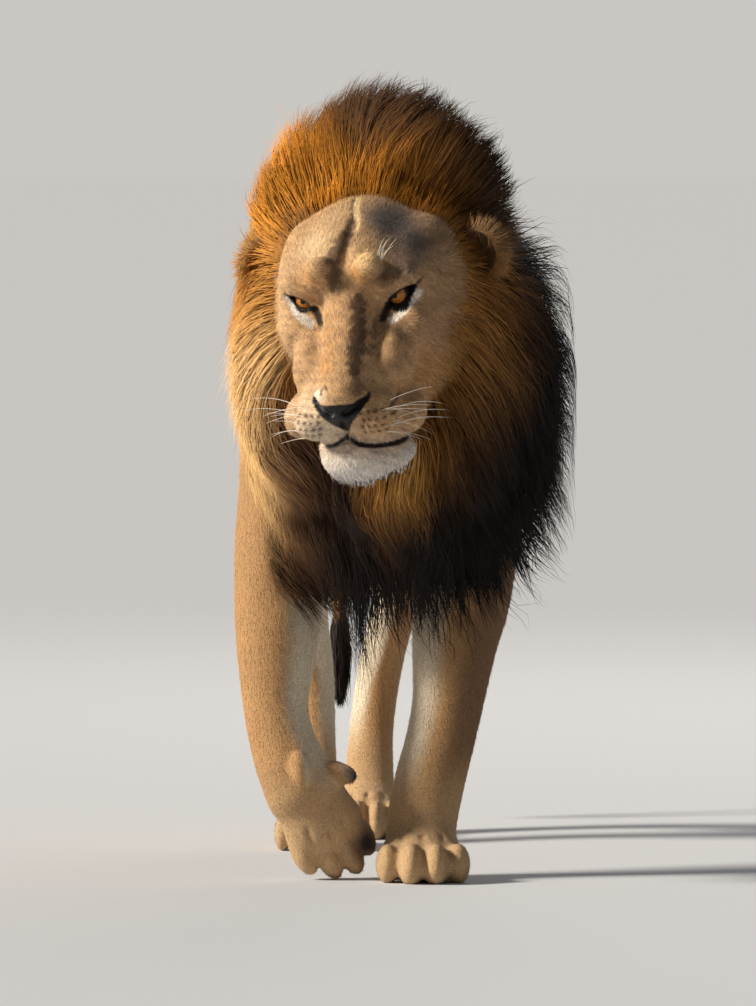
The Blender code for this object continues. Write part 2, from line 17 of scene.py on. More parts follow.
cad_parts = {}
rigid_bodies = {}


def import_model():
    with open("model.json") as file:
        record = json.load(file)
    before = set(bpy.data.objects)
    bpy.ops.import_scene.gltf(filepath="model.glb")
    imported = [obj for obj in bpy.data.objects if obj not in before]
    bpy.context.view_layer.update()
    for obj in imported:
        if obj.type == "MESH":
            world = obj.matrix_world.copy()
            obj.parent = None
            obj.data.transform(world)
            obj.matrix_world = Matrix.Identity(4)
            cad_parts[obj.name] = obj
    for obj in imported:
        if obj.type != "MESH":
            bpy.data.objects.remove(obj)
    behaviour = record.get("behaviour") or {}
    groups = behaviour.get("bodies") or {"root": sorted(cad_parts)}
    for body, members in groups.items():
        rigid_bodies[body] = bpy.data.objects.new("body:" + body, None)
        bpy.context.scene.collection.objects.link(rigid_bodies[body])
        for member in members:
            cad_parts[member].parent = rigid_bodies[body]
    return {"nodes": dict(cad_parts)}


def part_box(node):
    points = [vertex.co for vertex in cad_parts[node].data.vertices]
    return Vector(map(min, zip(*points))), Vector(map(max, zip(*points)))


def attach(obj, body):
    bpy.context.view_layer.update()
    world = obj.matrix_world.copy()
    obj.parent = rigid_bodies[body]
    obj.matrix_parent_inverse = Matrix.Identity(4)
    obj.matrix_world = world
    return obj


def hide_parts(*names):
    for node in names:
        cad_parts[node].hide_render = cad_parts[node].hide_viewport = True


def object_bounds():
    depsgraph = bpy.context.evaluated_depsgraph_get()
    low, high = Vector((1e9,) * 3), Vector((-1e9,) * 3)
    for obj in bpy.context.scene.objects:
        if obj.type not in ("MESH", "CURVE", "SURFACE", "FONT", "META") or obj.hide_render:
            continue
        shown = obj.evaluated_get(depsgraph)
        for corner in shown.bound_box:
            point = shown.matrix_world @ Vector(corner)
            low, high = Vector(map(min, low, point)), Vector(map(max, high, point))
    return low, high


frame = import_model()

CAD_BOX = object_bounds()
RANDOM = np.random.default_rng(7)

# ---------------------------------------------------------------- sizes shared with the solids
TRUNK_DRIFT = 0.045
EYE_LINE = (-0.033, -0.450, 0.840)
HEAD_YAW, HEAD_PITCH, HEAD_ROLL = -11.5, 16.5, -4.3
MOUTH_SHIFT = 0.005
CAD_EYE = (0.066, 0.016, 0.000)
EYE_SEAT = (0.066, 0.0165, 0.003)
EYE_RADIUS = 0.0185

# coat depths: the skin lies this far inside the solids
FACE_DEPTH, MANE_DEPTH, TRUNK_DEPTH, LEG_DEPTH, PAW_DEPTH = 0.003, 0.040, 0.009, 0.006, 0.003
SOLE_CLEAR, HAIR_CLEAR = 0.0006, 0.0008  # soles and hair stay this far above the floor


def turned(degrees):
    x, y, z = (math.radians(angle) for angle in degrees)
    return Matrix.Rotation(z, 4, "Z") @ Matrix.Rotation(y, 4, "Y") @ Matrix.Rotation(x, 4, "X")


def placed(centre, turn=(0, 0, 0)):
    return Matrix.Translation(centre) @ turned(turn)


HEAD = (
    Matrix.Translation(EYE_LINE)
    @ Matrix.Rotation(math.radians(HEAD_YAW), 4, "Z")
    @ Matrix.Rotation(math.radians(HEAD_PITCH), 4, "X")
    @ Matrix.Rotation(math.radians(HEAD_ROLL), 4, "Y")
)
low, high = (Vector(corner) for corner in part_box("eye_left"))
SHIFT = (low + high) / 2 - HEAD @ Vector(CAD_EYE)


def into(place, points):
    """Points in the axes that place puts there."""
    own = np.array(place.inverted())
    return points @ own[:3, :3].T + own[:3, 3]


def in_head(points):
    """Points in the head's own frame: origin between the eyes, -Y to the nose."""
    return into(HEAD, points)


def head_spot(sign, spot):
    """Where a spot of the head's left side lies, or its mirror image where sign is -1."""
    return HEAD @ Vector((sign * spot[0], *spot[1:]))


def smooth(value, start, end):
    share = np.clip((value - start) / (end - start), 0, 1)
    return share * share * (3 - 2 * share)


def unit(rows):
    return rows / (np.linalg.norm(rows, axis=-1, keepdims=True) + 1e-9)


# ---------------------------------------------------------------- forms as distance fields
def spans(*stops):
    """Grid lines; each stop is (place, spacing from there on)."""
    lines = [
        start + (end - start) * np.arange(count) / count
        for (start, step), (end, _) in zip(stops, stops[1:])
        for count in [max(round((end - start) / step), 1)]
    ]
    return np.concatenate([*lines, [stops[-1][0]]])


class Field:
    """Distance to a growing smooth union of forms, on grid lines that may be uneven."""

    def __init__(self, axes, value=None):
        self.axes = axes
        shape = [len(axis) for axis in axes]
        self.value = np.ones(shape, np.float32) if value is None else value

    def near(self, centre, reach):
        block = tuple(
            slice(*np.searchsorted(axis, (middle - reach, middle + reach)))
            for axis, middle in zip(self.axes, centre)
        )
        x, y, z = (
            (axis[part] - middle).astype(np.float32)
            for axis, part, middle in zip(self.axes, block, centre)
        )
        return block, (x[:, None, None], y[None, :, None], z[None, None, :])

    def join(self, block, distance, blend):
        old = self.value[block]
        ease = np.maximum(blend - np.abs(old - distance), 0) / blend
        self.value[block] = np.minimum(old, distance) - ease**2 * (blend / 4)

    def carve(self, block, distance, blend):
        old = self.value[block]
        ease = np.maximum(blend - np.abs(old + distance), 0) / blend
        self.value[block] = np.maximum(old, -distance) + ease**2 * (blend / 4)

    def ellipsoid(self, place, radii, blend, carve=False):
        block, points = self.near(place.translation, max(radii) + 2 * blend + 0.01)
        own = own_axes(points, place.to_3x3())
        distance = ellipsoid_distance(own, radii)
        (self.carve if carve else self.join)(block, distance, blend)

    def limb(self, stations, blend, place=Matrix.Identity(4), carve=False, ease=4):
        """A tube through stations (x, y, z, half width across, half depth)."""
        rows = [(place @ Vector(row[:3]), row[3], row[4]) for row in eased(stations, ease)]
        tube = Field(self.axes)
        for (a, wide_a, deep_a), (b, wide_b, deep_b) in zip(rows, rows[1:]):
            along = b - a
            length = along.length
            reach = length / 2 + max(wide_a, deep_a, wide_b, deep_b) + 2 * blend + 0.01
            block, points = tube.near((a + b) / 2, reach)
            along.normalize()
            across = place.to_3x3() @ Vector((1, 0, 0))
            across = (across - along * across.dot(along)).normalized()
            x, y, z = own_axes(points, Matrix((across, along.cross(across), along)).transposed())
            share = np.clip(z / length + 0.5, 0, 1)
            z = z - (share - 0.5) * length
            wide = wide_a + (wide_b - wide_a) * share
            deep = deep_a + (deep_b - deep_a) * share
            distance = ellipsoid_distance((x, y, z), (wide, deep, np.minimum(wide, deep)))
            tube.value[block] = np.minimum(tube.value[block], distance)
        (self.carve if carve else self.join)(..., tube.value, blend)

    def at(self, points):
        """The value at points, read between the grid lines."""
        cells, shares = [], []
        for i, axis in enumerate(self.axes):
            cell = np.clip(np.searchsorted(axis, points[:, i]) - 1, 0, len(axis) - 2)
            cells.append(cell)
            shares.append(np.clip((points[:, i] - axis[cell]) / (axis[cell + 1] - axis[cell]), 0, 1))
        total = np.zeros(len(points))
        for corner in itertools.product((0, 1), repeat=3):
            weight = np.ones(len(points))
            for far, share in zip(corner, shares):
                weight *= share if far else 1 - share
            total += weight * self.value[tuple(c + far for c, far in zip(cells, corner))]
        return total

    def slope(self, points, step=0.004):
        """The direction out of the forms at points."""
        rises = [self.at(points + ahead) - self.at(points - ahead) for ahead in np.eye(3) * step]
        return unit(np.stack(rises, axis=1))

    def onto(self, points, level=0.0, tries=3):
        """Points moved to where the value is level."""
        for _ in range(tries):
            points = points - self.slope(points) * (self.at(points) - level)[:, None]
        return points


def own_axes(points, turn):
    """Grids x, y, z measured along the columns of turn."""
    x, y, z = points
    return [x * turn[0][i] + y * turn[1][i] + z * turn[2][i] for i in range(3)]


def ellipsoid_distance(own, radii):
    """About the distance to an ellipsoid, below 0 inside it."""
    near = sum((p / r) ** 2 for p, r in zip(own, radii)) ** 0.5 + 1e-6
    steep = sum((p / r**2) ** 2 for p, r in zip(own, radii)) ** 0.5 + 1e-6
    return near * (near - 1) / steep


def eased(stations, steps=4):
    """Extra stations between the given ones, on a smooth curve."""
    rows = np.array(stations, float)
    rows = np.vstack([2 * rows[0] - rows[1], rows, 2 * rows[-1] - rows[-2]])
    found = []
    for before, start, end, after in zip(rows, rows[1:], rows[2:], rows[3:]):
        rise, fall = (end - before) / 2, (after - start) / 2
        for t in np.arange(steps) / steps:
            found.append(
                start * (2 * t**3 - 3 * t**2 + 1)
                + rise * (t**3 - 2 * t**2 + t)
                + end * (3 * t**2 - 2 * t**3)
                + fall * (t**3 - t**2)
            )
    return [tuple(map(float, row)) for row in [*found, rows[-2]]]


def resampled(field, axes):
    """The field's values on finer grid lines, by cubic steps along each axis in turn."""
    value = np.minimum(field.value, 0.05)  # no jump for the cubic to swing past
    for i, (coarse, fine) in enumerate(zip(field.axes, axes)):
        place = (fine - coarse[0]) / (coarse[1] - coarse[0])
        cell = np.clip(np.floor(place).astype(int), 0, len(coarse) - 2)
        t = np.clip(place - cell, 0, 1)
        taps = (
            (-(t**3) + 2 * t**2 - t) / 2,
            (3 * t**3 - 5 * t**2 + 2) / 2,
            (-3 * t**3 + 4 * t**2 + t) / 2,
            (t**3 - t**2) / 2,
        )
        shape = [1, 1, 1]
        shape[i] = -1
        value = sum(
            np.take(value, np.clip(cell + offset, 0, len(coarse) - 1), axis=i)
            * tap.astype(np.float32).reshape(shape)
            for offset, tap in zip((-1, 0, 1, 2), taps)
        )
    return Field(axes, value)


def net_of(field):
    """Points and quads at value 0: one point in each cell that the surface crosses."""
    value = np.full_like(field.value, 0.01)
    value[1:-1, 1:-1, 1:-1] = field.value[1:-1, 1:-1, 1:-1]
    cells = tuple(np.array(value.shape) - 1)
    crossings, owners, quads = [], [], []
    inside = value < 0
    for axis in range(3):
        u, v = (axis + 1) % 3, (axis + 2) % 3
        before = [slice(None)] * 3
        after = [slice(None)] * 3
        before[axis], after[axis] = slice(None, -1), slice(1, None)
        at = np.argwhere(inside[tuple(before)] != inside[tuple(after)])
        start = value[tuple(at.T)]
        step = np.eye(3, dtype=int)[axis]
        end = value[tuple((at + step).T)]
        point = at.astype(float)
        point[:, axis] += start / (start - end)
        corners = []
        for back_u, back_v in ((0, 0), (1, 0), (1, 1), (0, 1)):
            cell = at.copy()
            cell[:, u] -= back_u
            cell[:, v] -= back_v
            corners.append(np.ravel_multi_index(tuple(cell.T), cells))
            crossings.append(point)
            owners.append(corners[-1])
        quad = np.stack(corners, axis=1)
        inward = end < 0
        quad[inward] = quad[inward][:, ::-1]
        quads.append(quad)
    crossings, owners, quads = map(np.concatenate, (crossings, owners, quads))
    used, index = np.unique(owners, return_inverse=True)
    index = index.reshape(-1)
    counts = np.bincount(index)
    spots = [
        np.interp(np.bincount(index, crossings[:, i]) / counts, np.arange(len(axis)), axis)
        for i, axis in enumerate(field.axes)
    ]
    return np.stack(spots, axis=1), np.searchsorted(used, quads)


# ---------------------------------------------------------------- named forms
def metres(rows):
    """Rows of millimetres in metres."""
    return [tuple(value / 1000 for value in row) for row in rows]


HEAD_MIDDLE = {  # centre, radii, turn, blend
    "cranium": ((0, 0.115, 0.015), (0.100, 0.120, 0.096), (0, 0, 0), 0.03),
    "forehead": ((0, 0.044, 0.028), (0.084, 0.062, 0.064), (0, 0, 0), 0.03),
    "muzzle": ((0, -0.070, -0.106), (0.062, 0.090, 0.050), (8, 0, 0), 0.03),
    "nose": ((0, -0.156, -0.106), (0.034, 0.018, 0.026), (20, 0, 0), 0.012),
    "chin": ((0.009, -0.112, -0.190), (0.054, 0.046, 0.034), (0, 0, 0), 0.02),
    "lower_lip": ((0.006, -0.096, -0.166), (0.050, 0.048, 0.020), (0, 0, 0), 0.012),
    "throat": ((0, 0.090, -0.120), (0.088, 0.110, 0.085), (0, 0, 0), 0.04),
}
HEAD_SIDES = {  # the same for the left side, which the right mirrors
    "brow": ((0.046, 0.008, 0.030), (0.036, 0.026, 0.017), (0, 12, 14), 0.02),
    "temple": ((0.074, 0.055, 0.012), (0.032, 0.056, 0.052), (0, 0, 10), 0.03),
    "cheekbone": ((0.073, 0.036, -0.038), (0.034, 0.066, 0.036), (0, 0, 16), 0.03),
    "jaw_muscle": ((0.073, 0.095, -0.080), (0.049, 0.080, 0.078), (0, 0, 0), 0.04),
    "cheek": ((0.047, -0.020, -0.082), (0.037, 0.070, 0.048), (0, 0, 14), 0.03),
    "lip_pad": ((0.037, -0.110, -0.126), (0.039, 0.058, 0.036), (6, 0, 10), 0.014),
}
HEAD_FOLDS = [  # on both sides, for the skin alone
    ((0.036, -0.015, 0.053), (0.022, 0.020, 0.021), (0, 0, 0), 0.010),  # brow bump
    ((0.068, -0.007, 0.027), (0.028, 0.015, 0.009), (0, -28, 10), 0.008),  # hood over the lid
    ((0.067, -0.005, -0.034), (0.029, 0.018, 0.012), (0, -28, 16), 0.010),  # bag under the eye
    ((0.024, -0.142, -0.092), (0.018, 0.018, 0.012), (0, 20, 0), 0.008),  # nose wing
    ((0.071, -0.056, -0.144), (0.030, 0.052, 0.034), (0, 0, 12), 0.016),  # lip at the mouth's corner
]
CHEEK_FUR = [  # furry sides of the face, slimmer on the lion's right, and the lower lip's left end
    ((0.048, -0.080, -0.196), (0.032, 0.042, 0.021), (0, 0, 0), 0.016),
    ((0.094, 0.112, -0.030), (0.048, 0.070, 0.105), (0, 0, 0), 0.04),
    ((-0.080, 0.112, -0.030), (0.040, 0.070, 0.100), (0, 0, 0), 0.04),
]
NOSE_BRIDGE = metres([
    (0, 10, -10, 42, 44),
    (0, -40, -40, 41, 40),
    (0, -95, -70, 40, 36),
    (0, -142, -92, 34, 28),
])
JAW = [
    (MOUTH_SHIFT, -0.088, -0.180, 0.050, 0.036),
    (0, -0.030, -0.168, 0.064, 0.048),
    (0, 0.050, -0.140, 0.088, 0.066),
]
SOCKET = ((0.072, -0.014, -0.002), (0.026, 0.020, 0.013), (0, -14, 30))
EAR_SEAT, EAR_RADII, EAR_TURN = (0.150, 0.170, 0.004), (0.042, 0.022, 0.047), (-10, 52, -26)
EAR_CUP = ((0, -0.024, 0.004), (0.033, 0.030, 0.036))
EAR_ROOT, EAR_FOOT = (0.095, 0.130, 0.000), (0, 0.008, -0.036)  # in head frame, in the ear's
MANE = {  # centre, radii, turn
    "crest_right": ((-0.080, -0.240, 0.960), (0.105, 0.100, 0.120), (0, -14, 0)),
    "crest_top": ((0.015, -0.225, 1.000), (0.125, 0.110, 0.140), (0, 0, 0)),
    "crest_left": ((0.095, -0.225, 0.965), (0.100, 0.110, 0.120), (0, 14, 0)),
    "cheek_right": ((-0.110, -0.225, 0.760), (0.095, 0.150, 0.190), (0, 0, 0)),
    "cheek_left": ((0.110, -0.225, 0.770), (0.130, 0.150, 0.190), (0, 0, 0)),
    "side_left": ((0.170, -0.130, 0.700), (0.100, 0.130, 0.230), (0, 0, 0)),
    "ruff_right": ((-0.125, -0.310, 0.700), (0.070, 0.110, 0.150), (0, 0, 0)),
    "ruff_left": ((0.120, -0.300, 0.700), (0.085, 0.110, 0.160), (0, 0, 0)),
    "beard": ((0.025, -0.345, 0.610), (0.115, 0.115, 0.110), (0, 0, 0)),
    "bib": ((0.030, -0.170, 0.570), (0.185, 0.140, 0.140), (0, 0, 0)),
    "chest": ((0.050, -0.135, 0.475), (0.125, 0.100, 0.090), (0, 0, 0)),
    "collar": ((-0.095, -0.080, 0.660), (0.098, 0.130, 0.155), (0, 0, 0)),
    "nape": ((0.005, -0.020, 0.945), (0.150, 0.220, 0.175), (0, 0, 0)),
    "withers": ((0.000, 0.140, 0.960), (0.110, 0.180, 0.110), (0, 0, 0)),
    "neck": ((0.010, -0.060, 0.780), (0.185, 0.220, 0.220), (0, 0, 0)),
    "drape_left": ((0.125, 0.020, 0.790), (0.095, 0.150, 0.200), (0, 0, 0)),
    "drape_right": ((-0.115, 0.020, 0.790), (0.090, 0.150, 0.190), (0, 0, 0)),
}
FREE_HAIR = ("chest",)  # forms that hold only hanging hair
MANE_BLEND = 0.05
RIB_DROP, SPINE_DROP = 0.06, 0.10  # ribs and the narrower spine above them, below the top line
SPINE_SHARE = 0.56  # of the ribs' width
SPINE_BLEND = 0.06
TRUNK = metres([  # y, top, bottom, half width
    (-60, 920, 660, 115),
    (30, 1030, 565, 155),
    (180, 1070, 535, 175),
    (360, 1050, 530, 184),
    (540, 1028, 555, 180),
    (720, 1022, 610, 166),
    (880, 1035, 690, 160),
    (1000, 1020, 760, 135),
])
FORE_LEFT = metres([  # x, y, z, half width, half depth
    (95, 100, 960, 45, 80),
    (125, 30, 840, 64, 115),
    (142, -20, 700, 70, 120),
    (144, 30, 560, 70, 112),
    (139, 45, 480, 72, 92),
    (125, 35, 400, 75, 72),
    (114, 15, 335, 67, 60),
    (105, 0, 255, 57, 50),
    (93, -5, 195, 55, 45),
    (79, -5, 140, 56, 47),
    (67, -18, 80, 56, 48),
    (66, -35, 40, 56, 50),
])
FORE_RIGHT = metres([
    (-90, 70, 960, 45, 80),
    (-116, -10, 840, 62, 115),
    (-128, -60, 700, 66, 120),
    (-134, -10, 560, 66, 110),
    (-138, 2, 480, 68, 92),
    (-138, -10, 400, 69, 70),
    (-140, -30, 335, 64, 60),
    (-142, -48, 255, 53, 48),
    (-134, -62, 205, 52, 44),
    (-120, -72, 165, 56, 46),
    (-105, -76, 135, 56, 42),
])
HIND_LEFT = metres([
    (45, 950, 930, 60, 105),
    (66, 905, 800, 80, 150),
    (76, 850, 670, 78, 155),
    (69, 815, 560, 66, 125),
    (52, 830, 440, 51, 86),
    (27, 885, 330, 39, 56),
    (8, 930, 245, 38, 46),
    (-4, 915, 165, 38, 37),
    (-8, 880, 100, 41, 36),
    (-8, 850, 55, 44, 40),
])
HIND_RIGHT = metres([
    (-125, 940, 930, 58, 105),
    (-136, 870, 800, 74, 150),
    (-135, 775, 670, 72, 150),
    (-129, 715, 560, 63, 122),
    (-119, 700, 440, 50, 84),
    (-104, 712, 330, 40, 55),
    (-93, 725, 245, 38, 46),
    (-90, 685, 165, 37, 37),
    (-90, 635, 100, 40, 36),
    (-90, 595, 50, 44, 40),
])
TAIL = metres([
    (-46, 1060, 985, 40, 40),
    (-49, 1150, 955, 30, 30),
    (-52, 1225, 860, 24, 24),
    (-54, 1245, 700, 21, 21),
    (-54, 1225, 520, 18, 18),
    (-54, 1180, 370, 17, 17),
    (-54, 1158, 290, 16, 16),
    (-53, 1138, 225, 10, 10),
])
TOES = ((-0.72, 0.50, 0.92), (-0.26, 0.66, 1.0), (0.24, 0.68, 1.0), (0.70, 0.53, 0.95))
CARPAL_PAD = ((-0.056, -0.078, 0.155), (0.034, 0.022, 0.019), (0, 14, 0))
DEWCLAW = ((-0.106, -0.112, 0.162), (0.017, 0.017, 0.028), (0, -10, 0))
HANGING_PALM = [  # centre and radii along the lifted paw's axis
    ((-0.002, 0, -0.045), (0.056, 0.038, 0.062)),
    ((0, 0, -0.092), (0.060, 0.036, 0.044)),
]
HANGING_TOE = (0.020, 0.027, 0.036)
HANGING_TOES = ((-0.044, 0.116), (-0.015, 0.138), (0.015, 0.146), (0.042, 0.130))
PLANTED = {  # x, y, width, length, turn
    "fore_left": (0.066, -0.030, 0.141, 0.150, 2),
    "hind_left": (-0.008, 0.840, 0.112, 0.135, -2),
    "hind_right": (-0.090, 0.585, 0.112, 0.135, -4),
}
WRIST, PAW_AXIS, PAW_ACROSS = (-0.114, -0.072, 0.160), (0.44, 0.10, -0.88), (0.88, 0.10, 0.44)


def thinner(radii, depth):
    """Radii with the coat's depth taken off, as drawn_in takes it off stations."""
    return tuple(max(radius - depth, 0.004) for radius in radii)


def drawn_in(stations, depth):
    return [(*row[:3], max(row[3] - depth, 0.004), max(row[4] - depth, 0.004)) for row in stations]


def on_side(sign, centre, turn=(0, 0, 0)):
    """A place given for the left side, mirrored where sign is -1."""
    return placed((sign * centre[0], *centre[1:]), (turn[0], sign * turn[1], sign * turn[2]))


STEP = 1.0
COARSE = [
    np.arange(start, end, 0.008 * STEP)
    for start, end in ((-0.30, 0.30), (-0.54, 1.32), (-0.05, 1.22))
]
FINE = [
    spans(*((place, step * STEP) for place, step in stops))
    for stops in (
        ((-0.27, 0.006), (-0.19, 0.003), (0.15, 0.006), (0.26, 0)),
        ((-0.66, 0.0025), (-0.26, 0.0045), (1.28, 0)),
        ((-0.012, 0.0035), (0.20, 0.006), (0.595, 0.0025), (1.0, 0.006), (1.17, 0)),
    )
]


def make_mane_field(depth):
    """The mane's form drawn in by depth; drawn in, it leaves out the forms that only hang."""
    field = Field(COARSE)
    for name, (centre, radii, turn) in MANE.items():
        if depth > 0 and name in FREE_HAIR:
            continue
        field.ellipsoid(placed(centre, turn), thinner(radii, depth), MANE_BLEND)
    return field


def trunk_stations():
    """Stations of the ribs, and of the narrower spine that rides on them."""
    ribs, spine = [], []
    for y, top, low, half in TRUNK:
        x = -TRUNK_DRIFT * max(y, 0)
        crown = top - RIB_DROP
        ribs.append((x, y, (crown + low) / 2, half, (crown - low) / 2))
        spine.append((x, y, top - SPINE_DROP, half * SPINE_SHARE, SPINE_DROP))
    return ribs, spine


def make_body_field():
    """Trunk and legs, drawn in by the depth of their coat."""
    field = Field(COARSE)
    ribs, spine = trunk_stations()
    field.limb(drawn_in(ribs, TRUNK_DEPTH), 0.03)
    field.limb(drawn_in(spine, TRUNK_DEPTH), SPINE_BLEND)
    for stations in (FORE_LEFT, FORE_RIGHT, HIND_LEFT, HIND_RIGHT):
        field.limb(drawn_in(stations, LEG_DEPTH), 0.03)
    return field


def planted_paw(field, x, y, width, length, turn):
    """A standing paw: its back, its toes and the furrows between them."""
    paw = placed((x, y, 0), (0, 0, turn))
    half = width / 2
    for spot, radii in (
        ((0, -0.22 * length, 0.034), (0.84 * half, 0.40 * length, 0.040)),
        ((0, 0.06 * length, 0.026), (0.66 * half, 0.26 * length, 0.034)),
    ):
        field.ellipsoid(paw @ placed(spot), thinner(radii, PAW_DEPTH), 0.02)
    for across, reach, size in TOES:
        spot = (across * half, -reach * length, 0.026)
        radii = (0.30 * half * size, 0.25 * length * size, 0.034 * size)
        field.ellipsoid(paw @ placed(spot), thinner(radii, PAW_DEPTH), 0.014)
    for (a, reach_a, _), (b, reach_b, _) in zip(TOES, TOES[1:]):
        middle, reach = (a + b) / 2 * half, (reach_a + reach_b) / 2 * length
        furrow = [
            (middle * 0.86, -reach + 0.040, 0.064, 0.002, 0.002),
            (middle * 0.94, -reach + 0.010, 0.060, 0.003, 0.004),
            (middle, -reach - 0.020, 0.046, 0.003, 0.005),
            (middle * 1.02, -reach - 0.034, 0.015, 0.003, 0.005),
        ]
        field.limb(furrow, 0.008, paw, carve=True, ease=2)


def hanging_paw(field):
    """The lifted right forepaw, which hangs from the wrist on the tips of its toes."""
    axis = Vector(PAW_AXIS).normalized()
    across = Vector(PAW_ACROSS)
    across = (across - axis * across.dot(axis)).normalized()
    columns = Matrix((across, across.cross(axis), -axis)).transposed()
    paw = Matrix.Translation(WRIST) @ columns.to_4x4()
    for spot, radii in HANGING_PALM:
        field.ellipsoid(paw @ placed(spot), thinner(radii, PAW_DEPTH), 0.02)
    toe = thinner(HANGING_TOE, PAW_DEPTH)
    for offset, reach in HANGING_TOES:
        field.ellipsoid(paw @ placed((offset, 0.004, -reach), (12, 0, 0)), toe, 0.006)
    for (a, reach_a), (b, reach_b) in zip(HANGING_TOES, HANGING_TOES[1:]):
        middle, reach = (a + b) / 2, (reach_a + reach_b) / 2
        furrow = [
            (middle * 0.9, -0.030, -reach + 0.045, 0.002, 0.003),
            (middle, -0.033, -reach, 0.004, 0.008),
            (middle, -0.020, -reach - 0.030, 0.004, 0.010),
        ]
        field.limb(furrow, 0.006, paw, carve=True, ease=2)
    for centre, radii, turn in (CARPAL_PAD, DEWCLAW):
        field.ellipsoid(placed(centre, turn), thinner(radii, PAW_DEPTH), 0.008)


# ---------------------------------------------------------------- face details, head frame
MOUTH = metres([
    (0, -140, -155),
    (18, -139, -165),
    (40, -129, -171),
    (64, -100, -178),
    (86, -62, -180),
    (96, -35, -173),
])
PHILTRUM = metres([(3, -165, -128), (0, -150, -145), (0, -138, -158)])
NOSTRIL = metres([(12, -176, -112), (26, -168, -102), (36, -150, -94)])
TEAR = metres([(53, -4, -8), (48, -18, -17), (45, -28, -24)])
UNDER_EYE = {  # the white band below each eye, tighter on the squinting side
    1: [(0.056, -0.023, -0.027), (0.066, -0.018, -0.023), (0.077, -0.011, -0.015), (0.096, 0, 0.004)],
    -1: [(0.057, -0.020, -0.026), (0.068, -0.010, -0.019), (0.081, -0.001, -0.010), (0.090, 0, 0.008)],
}
SIDE_CREASE = metres([(45, -30, -26), (40, -85, -52), (40, -128, -78)])
FURROW = metres([(7, 60, 100), (4, 20, 90), (-2, -12, 58)])
SIDE_LINES = [  # path, how far it sinks below the skin, radius, blend; on both sides
    (MOUTH, 0.0, 0.0030, 0.004),
    (TEAR, 0.0, 0.0022, 0.004),
    (SIDE_CREASE, -0.0040, 0.0080, 0.012),
    (NOSTRIL, 0.0030, 0.0062, 0.003),
]
MIDDLE_LINES = [(PHILTRUM, 0.0005, 0.0034, 0.003), (FURROW, 0.0, 0.0055, 0.010)]
EYE_SLANT, EYE_OUTWARD = 32, 26  # degrees: the outer corner is higher and further back
SQUINT = 1.35  # the right eye's measures count for this much more
EYE_HALF, LID_UP, LID_DOWN, LID_THICK = 0.0225, 0.0078, 0.0088, 0.0032


def eye_axes(points, sign):
    """Points in head frame to the eye opening's: along the corners, up, and inwards."""
    own = points - np.array((sign * EYE_SEAT[0], EYE_SEAT[1], EYE_SEAT[2]))
    slant, out = math.radians(EYE_SLANT), math.radians(EYE_OUTWARD)
    x, y, z = own[..., 0] * sign, own[..., 1], own[..., 2]
    x, y = x * math.cos(out) + y * math.sin(out), -x * math.sin(out) + y * math.cos(out)
    grown = SQUINT if sign < 0 else 1.0
    along = x * math.cos(slant) + z * math.sin(slant)
    up = -x * math.sin(slant) + z * math.cos(slant)
    return along * grown, up * grown, y


def opening(along, up):
    """Distance to the almond between the lids, below 0 inside it."""
    share = np.clip(along / EYE_HALF, -1.15, 1.15)
    bow = 1 - share**2
    top = LID_UP * np.sign(bow) * np.abs(bow) ** 0.8 + 0.0010 * share
    bottom = -LID_DOWN * np.sign(bow) * np.abs(bow) ** 0.9 * (1 - 0.30 * share)
    return np.maximum(np.maximum(up - top, bottom - up) * 0.85, np.abs(along) - EYE_HALF * 1.02)


def add_head(field):
    """Head, jaw and brows, then the eyeballs' lids with the openings between them."""
    for centre, radii, turn, blend in HEAD_MIDDLE.values():
        field.ellipsoid(HEAD @ placed(centre, turn), thinner(radii, FACE_DEPTH), blend)
    field.limb(drawn_in(NOSE_BRIDGE, FACE_DEPTH), 0.02, HEAD)
    field.limb(drawn_in(JAW, FACE_DEPTH), 0.03, HEAD)
    for centre, radii, turn, blend in CHEEK_FUR:
        field.ellipsoid(HEAD @ placed(centre, turn), radii, blend)
    for sign in (1, -1):
        for centre, radii, turn, blend in (*HEAD_SIDES.values(), *HEAD_FOLDS):
            field.ellipsoid(HEAD @ on_side(sign, centre, turn), thinner(radii, FACE_DEPTH), blend)
        centre, radii, turn = SOCKET
        field.ellipsoid(HEAD @ on_side(sign, centre, turn), radii, 0.008, carve=True)
        seat = head_spot(sign, EYE_SEAT)
        field.ellipsoid(Matrix.Translation(seat), (EYE_RADIUS + LID_THICK,) * 3, 0.009)
        block, (x, y, z) = field.near(seat, 0.04)
        points = np.stack(np.broadcast_arrays(x, y, z), axis=-1) + np.array(seat)
        along, up, inward = eye_axes(in_head(points), sign)
        field.carve(block, np.maximum(opening(along, up), inward + 0.002).astype(np.float32), 0.002)
    add_face_lines(field)


def carve_line(field, sign, path, sink, radius, blend):
    """Carves a groove along a path in head frame, laid on the surface and sunk below it."""
    spots = field.onto(np.array([head_spot(sign, spot) for spot in path]), -sink)
    field.limb([(*spot, radius, radius) for spot in spots], blend, carve=True, ease=3)


def add_face_lines(field):
    for sign in (1, -1):
        for line in SIDE_LINES:
            carve_line(field, sign, *line)
    for line in MIDDLE_LINES:
        carve_line(field, 1, *line)


def add_ear(field, sign):
    """A round ear with a hollow cup, on a root that joins it to the head."""
    place = HEAD @ on_side(sign, EAR_SEAT, EAR_TURN)
    field.ellipsoid(place, thinner(EAR_RADII, 0.002), 0.01)
    centre, radii = EAR_CUP
    field.ellipsoid(place @ placed(centre), radii, 0.004, carve=True)
    root, tip = head_spot(sign, EAR_ROOT), place @ Vector(EAR_FOOT)
    field.limb([(*root, 0.034, 0.034), (*tip, 0.026, 0.022)], 0.02)


